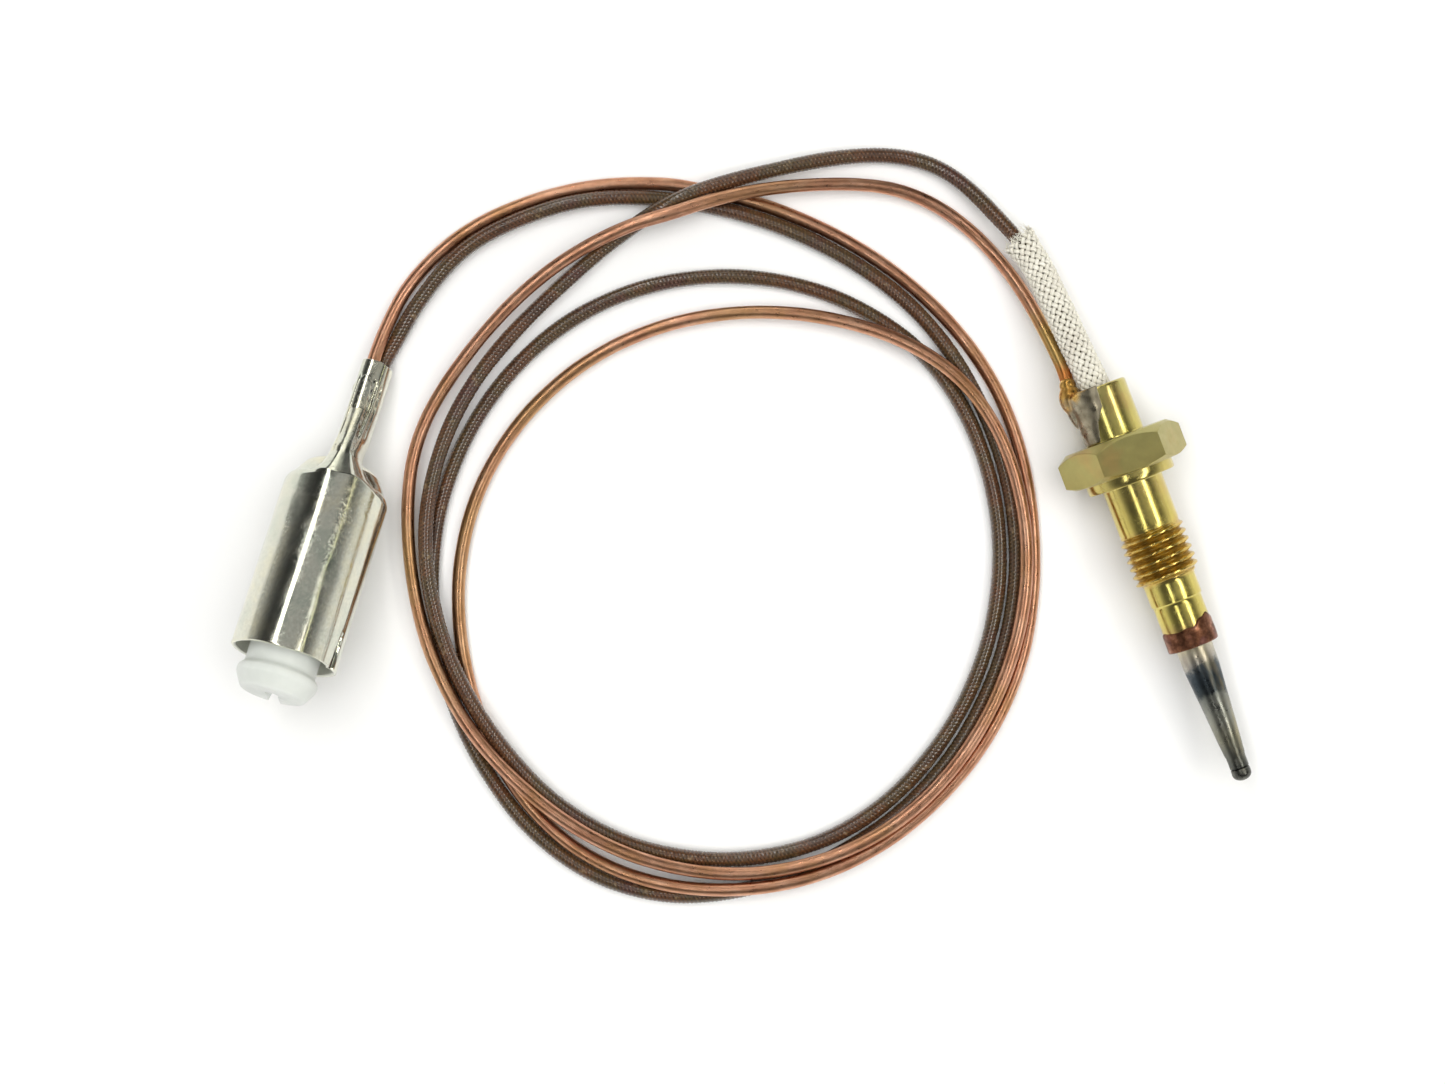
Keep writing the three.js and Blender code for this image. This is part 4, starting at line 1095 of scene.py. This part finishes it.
for s in list(np.arange(14.7, 27.9, 0.22)) + [28.0, 28.15, 28.28, 28.36]:
    row(s, np.minimum(wall(s), SHELL_R + 0.05))
mouth = 0.05 * wobble(83, 5, cosp * 2, sinp * 2) - 0.05
edge = wall(28.4)
row(28.43 + mouth, edge - 0.02)
row(28.47 + mouth, edge - 0.09)
row(28.485 + mouth, edge - 0.17)
row(28.48 + mouth, edge - 0.27)
row(28.45 + mouth, edge - 0.35)
row(28.38 + mouth, np.maximum(edge - 0.40, 4.3))
for s in (28.2, 27.5, 26.0, 24.0, 22.0, 19.0, 16.0, 14.4):
    row(s, 4.36 if s > 23.5 else 4.30)
row(14.3, 4.3)
row(14.28, 1.5)
S_, R_ = (np.stack([r[k] for r in rows]) for k in range(2))
V = plug_point(S_, R_, pc[None, :])
arc = np.r_[0, np.cumsum(np.linalg.norm(np.diff(V[:, 64], axis=0), axis=1))]
inside = np.zeros(S_.shape)
inside[:5], inside[-13:] = 1.0, 1.0
# mask of the seam's slit, for the painted shade in the nickel material
slit = np.exp(-((deg_[None, :] - 19) / (1.0 + 2.4 * smoothstep(24.8, 28.2, S_))) ** 4) * smoothstep(24.9, 26.0, S_) * (R_ > 4.37)
shell = grid_object("shell_crimped", V, v=arc, u_size=1.0, sharp=34.0, attrs={"inside": inside, "slit": slit})
dress(shell, nickel_material())

# ---------------------------------------------------------------- nylon insulator, with its slot cut by a boolean
nyl = [(14.31, 1.35), (14.31, 4.0), (14.45, 4.15), (22.4, 4.15), (22.6, 4.05), (22.9, 3.25), (23.1, 3.17)]
nyl += [(s, 3.17) for s in (24.5, 26.0, 27.5, 28.6, 29.3)]
nyl += [(29.50, 3.18), (29.62, 3.24), (29.78, 3.40), (29.95, 3.54), (30.10, 3.60), (30.3, 3.61), (30.5, 3.60), (30.62, 3.56), (30.75, 3.49)]
nyl += [(31.55, 3.03), (31.68, 2.94), (31.77, 2.85), (31.82, 2.74), (31.82, 0.70), (31.78, 0.64), (31.7, 0.62), (30.61, 0.62), (30.61, 1.34), (24.0, 1.34)]
nyl = np.array(nyl)
pn = np.arange(112) * 2 * math.pi / 112
S = np.repeat(nyl[:, :1], 112, 1)
R = np.repeat(nyl[:, 1:], 112, 1)
R = R + 0.015 * wobble(91, 6, S / 2.5, np.cos(pn)[None, :] * 1.5, np.sin(pn)[None, :] * 1.5) * (R > 2)
ring_close = np.concatenate([np.arange(len(nyl)), [0]])
Sc, Rc = S[ring_close], R[ring_close]
local = np.stack([Rc * np.cos(pn), -Sc, Rc * np.sin(pn)], -1)
verts, faces, _ = grid_arrays(local[:-1], False, False)
n_, m_ = len(nyl), 112
jj = np.arange(m_)
last = np.stack([(n_ - 1) * m_ + jj, (n_ - 1) * m_ + (jj + 1) % m_, (jj + 1) % m_, jj], -1)
me = bpy.data.meshes.new("nylon_slotted")
me.from_pydata(verts.tolist(), [], [tuple(int(q) for q in f) for f in np.concatenate([faces[0], last])])
bm = bmesh.new()
bm.from_mesh(me)
bmesh.ops.recalc_face_normals(bm, faces=bm.faces)
bm.to_mesh(me)
bm.free()
nylon = bpy.data.objects.new("nylon_slotted", me)
scene.collection.objects.link(nylon)
bm = bmesh.new()
bmesh.ops.create_cube(bm, size=1.0)
for v_ in bm.verts:
    v_.co = Vector((v_.co.x * 1.2, v_.co.y * 2.2 - 31.82, v_.co.z * 5.4 - 2.25))
    if v_.co.y > -31.0:
        v_.co.x *= 0.82
cutter_me = bpy.data.meshes.new("slot_cutter")
bm.to_mesh(cutter_me)
bm.free()
cutter = bpy.data.objects.new("slot_cutter", cutter_me)
scene.collection.objects.link(cutter)
mod = nylon.modifiers.new("slot", "BOOLEAN")
mod.operation, mod.solver, mod.object = "DIFFERENCE", "EXACT", cutter
bev = nylon.modifiers.new("edge", "BEVEL")
bev.width, bev.segments, bev.limit_method, bev.angle_limit = 0.05, 2, "ANGLE", math.radians(50)
dg = bpy.context.evaluated_depsgraph_get()
cut = bpy.data.meshes.new_from_object(nylon.evaluated_get(dg))
bpy.data.objects.remove(nylon)
bpy.data.objects.remove(cutter)
C4 = Matrix(((EX[0], -AX[0], EN[0], CONNECTOR_AT[0]), (EX[1], -AX[1], EN[1], CONNECTOR_AT[1]), (EX[2], -AX[2], EN[2], CONNECTOR_AT[2]), (0, 0, 0, 1)))
cut.transform(Matrix.Scale(MM, 4) @ C4)
cut.polygons.foreach_set("use_smooth", np.ones(len(cut.polygons), bool))
cut.set_sharp_from_angle(angle=math.radians(40))
nylon = bpy.data.objects.new("nylon_slotted", cut)
scene.collection.objects.link(nylon)
dress(nylon, nylon_material())

# ---------------------------------------------------------------- inner pieces kept from the CAD, with better materials
for node_name, mat_, slot_ in (
    ("centre_contact", wire_material("contact_brass", srgb(170, 150, 84), srgb(222, 200, 126)), "contact_brass"),
    ("constantan_element", wire_material("constantan_bare", srgb(150, 144, 132), srgb(192, 186, 172)), "constantan"),
    ("lead_core_end", wire_material("constantan_core", srgb(150, 144, 132), srgb(192, 186, 172)), "constantan"),
    ("element_insulation", sleeve_material(), "glass_fibre"),
):
    node = bpy.data.objects[node_name]
    if node.material_slots:
        node.material_slots[0].material = mat_
    else:
        node.data.materials.append(mat_)

# ---------------------------------------------------------------- riding on the root body, with the CAD parts they replace hidden
for piece, nodes in (
    (insulated_lead, ["insulated_lead"]), (copper_lead, ["copper_return_lead"]), (body, ["brass_body"]), (ring_ob, ["braze_ring"]),
    (sheath, ["hot_junction_sheath"]), (weld, ["junction_weld"]), (blob, ["lead_solder_bulb", "solder_fillet"]),
    (sleeve, ["fibreglass_sleeve"]), (shade_sheet, []), (shell, ["connector_shell"]), (nylon, ["nylon_insulator"]),
):
    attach(piece, "root")
    if nodes:
        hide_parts(*nodes)

# ---------------------------------------------------------------- floor, world and lights
floor_me = bpy.data.meshes.new("floor")
bm = bmesh.new()
bmesh.ops.create_grid(bm, x_segments=8, y_segments=8, size=4.0)
bm.to_mesh(floor_me)
bm.free()
floor = bpy.data.objects.new("floor", floor_me)
scene.collection.objects.link(floor)
fm = Mat("floor_white", Roughness=0.9)
fm.bsdf("Base Color", fm.ramp(fm.noise(fm.coord("Object"), 3.0, 2.0), [(0.3, (0.91, 0.91, 0.91)), (0.7, (0.93, 0.93, 0.925))]))
fm.b.inputs["Specular IOR Level"].default_value = 0.1
floor.data.materials.append(fm.m)

world = bpy.data.worlds.new("studio")
scene.world = world
world.use_nodes = True
wt = world.node_tree
wt.nodes.clear()
w_out = wt.nodes.new("ShaderNodeOutputWorld")
w_bg = wt.nodes.new("ShaderNodeBackground")
w_co = wt.nodes.new("ShaderNodeTexCoord")
w_sep = wt.nodes.new("ShaderNodeSeparateXYZ")
w_ramp = wt.nodes.new("ShaderNodeValToRGB")
wt.links.new(w_co.outputs["Generated"], w_sep.inputs[0])
wt.links.new(w_sep.outputs["Z"], w_ramp.inputs[0])
stops = [(0.0, 0.95), (0.18, 0.85), (0.42, 0.34), (0.62, 0.12), (1.0, 0.10)]
while len(w_ramp.color_ramp.elements) < len(stops):
    w_ramp.color_ramp.elements.new(0.5)
for e, (p_, g_) in zip(w_ramp.color_ramp.elements, stops):
    e.position, e.color = p_, (g_, g_, g_ * 0.97, 1)
w_dot = wt.nodes.new("ShaderNodeVectorMath")
w_dot.operation = "DOT_PRODUCT"
w_dot.inputs[1].default_value = (0.3528, 0.9357, 0.0)
wt.links.new(w_co.outputs["Generated"], w_dot.inputs[0])
w_end = wt.nodes.new("ShaderNodeMapRange")
w_patch = wt.nodes.new("ShaderNodeMapRange")
for node_, vals_ in ((w_end, (0.25, 0.75, 1.0, 0.14)), (w_patch, (0.885, 0.95, 0.0, 1.0))):
    node_.interpolation_type = "SMOOTHSTEP"
    for key_, val_ in zip(("From Min", "From Max", "To Min", "To Max"), vals_):
        node_.inputs[key_].default_value = val_
wt.links.new(w_dot.outputs["Value"], w_end.inputs["Value"])
w_over = wt.nodes.new("ShaderNodeVectorMath")
w_over.operation = "DOT_PRODUCT"
w_over.inputs[1].default_value = tuple((Vector((0.9357, -0.3528, 0.0)) * 0.2 + Vector((0.3528, 0.9357, 0.0)) * 0.27 + Vector((0, 0, 0.94))).normalized())
wt.links.new(w_co.outputs["Generated"], w_over.inputs[0])
wt.links.new(w_over.outputs["Value"], w_patch.inputs["Value"])
w_dim = wt.nodes.new("ShaderNodeMix")
w_dim.data_type = "RGBA"
w_dim.inputs[6].default_value = (0.0, 0.0, 0.0, 1.0)
wt.links.new(w_end.outputs[0], w_dim.inputs[0])
wt.links.new(w_ramp.outputs[0], w_dim.inputs[7])
w_mix = wt.nodes.new("ShaderNodeMix")
w_mix.data_type = "RGBA"
w_mix.inputs[7].default_value = (0.43, 0.43, 0.42, 1.0)
wt.links.new(w_patch.outputs[0], w_mix.inputs[0])
wt.links.new(w_dim.outputs[2], w_mix.inputs[6])
wt.links.new(w_mix.outputs[2], w_bg.inputs[0])
wt.links.new(w_bg.outputs[0], w_out.inputs[0])

CENTRE = Vector((-0.036, 0.018, 0.0))
RIGHT = Vector((0.9357, -0.3528, 0.0))
UP = Vector((0.3528, 0.9357, 0.0))


def area(name, across, up, height, size_x, size_y, power, colour):
    """A softbox over the floor: across and up are metres in the picture's directions from its middle; it faces the middle."""
    ob = bpy.data.objects.new(name, bpy.data.lights.new(name, "AREA"))
    data = ob.data
    data.shape = "RECTANGLE"
    data.size, data.size_y = size_x, size_y
    data.energy = power
    data.color = colour
    ob.location = CENTRE + RIGHT * across + UP * up + Vector((0, 0, height))
    z = (ob.location - CENTRE).normalized()
    x = (RIGHT - z * RIGHT.dot(z)).normalized()
    y = z.cross(x)
    ob.rotation_euler = Matrix((x, y, z)).transposed().to_euler()
    scene.collection.objects.link(ob)
    return ob


area("softbox_left", -0.105, 0.15, 0.34, 0.042, 0.78, 0.55, (1.0, 0.99, 0.95))
area("softbox_right", 0.35, -0.03, 0.50, 0.085, 0.42, 0.70, (1.0, 0.98, 0.92))
area("strip_right", 0.516, 0.25, 0.50, 0.020, 0.80, 0.12, (0.95, 0.95, 0.60))
area("softbox_back", -0.02, 1.2, 0.42, 0.26, 0.70, 0.85, (1.0, 0.98, 0.88))
overhead = area("softbox_overhead", 0.0, 0.0, 1.6, 1.6, 1.6, 21.0, (1.0, 1.0, 1.0))
overhead.visible_glossy = False

scene.view_settings.view_transform = "Standard"
scene.view_settings.look = "None"
scene.view_settings.exposure = 0.0
scene.view_settings.gamma = 1.0
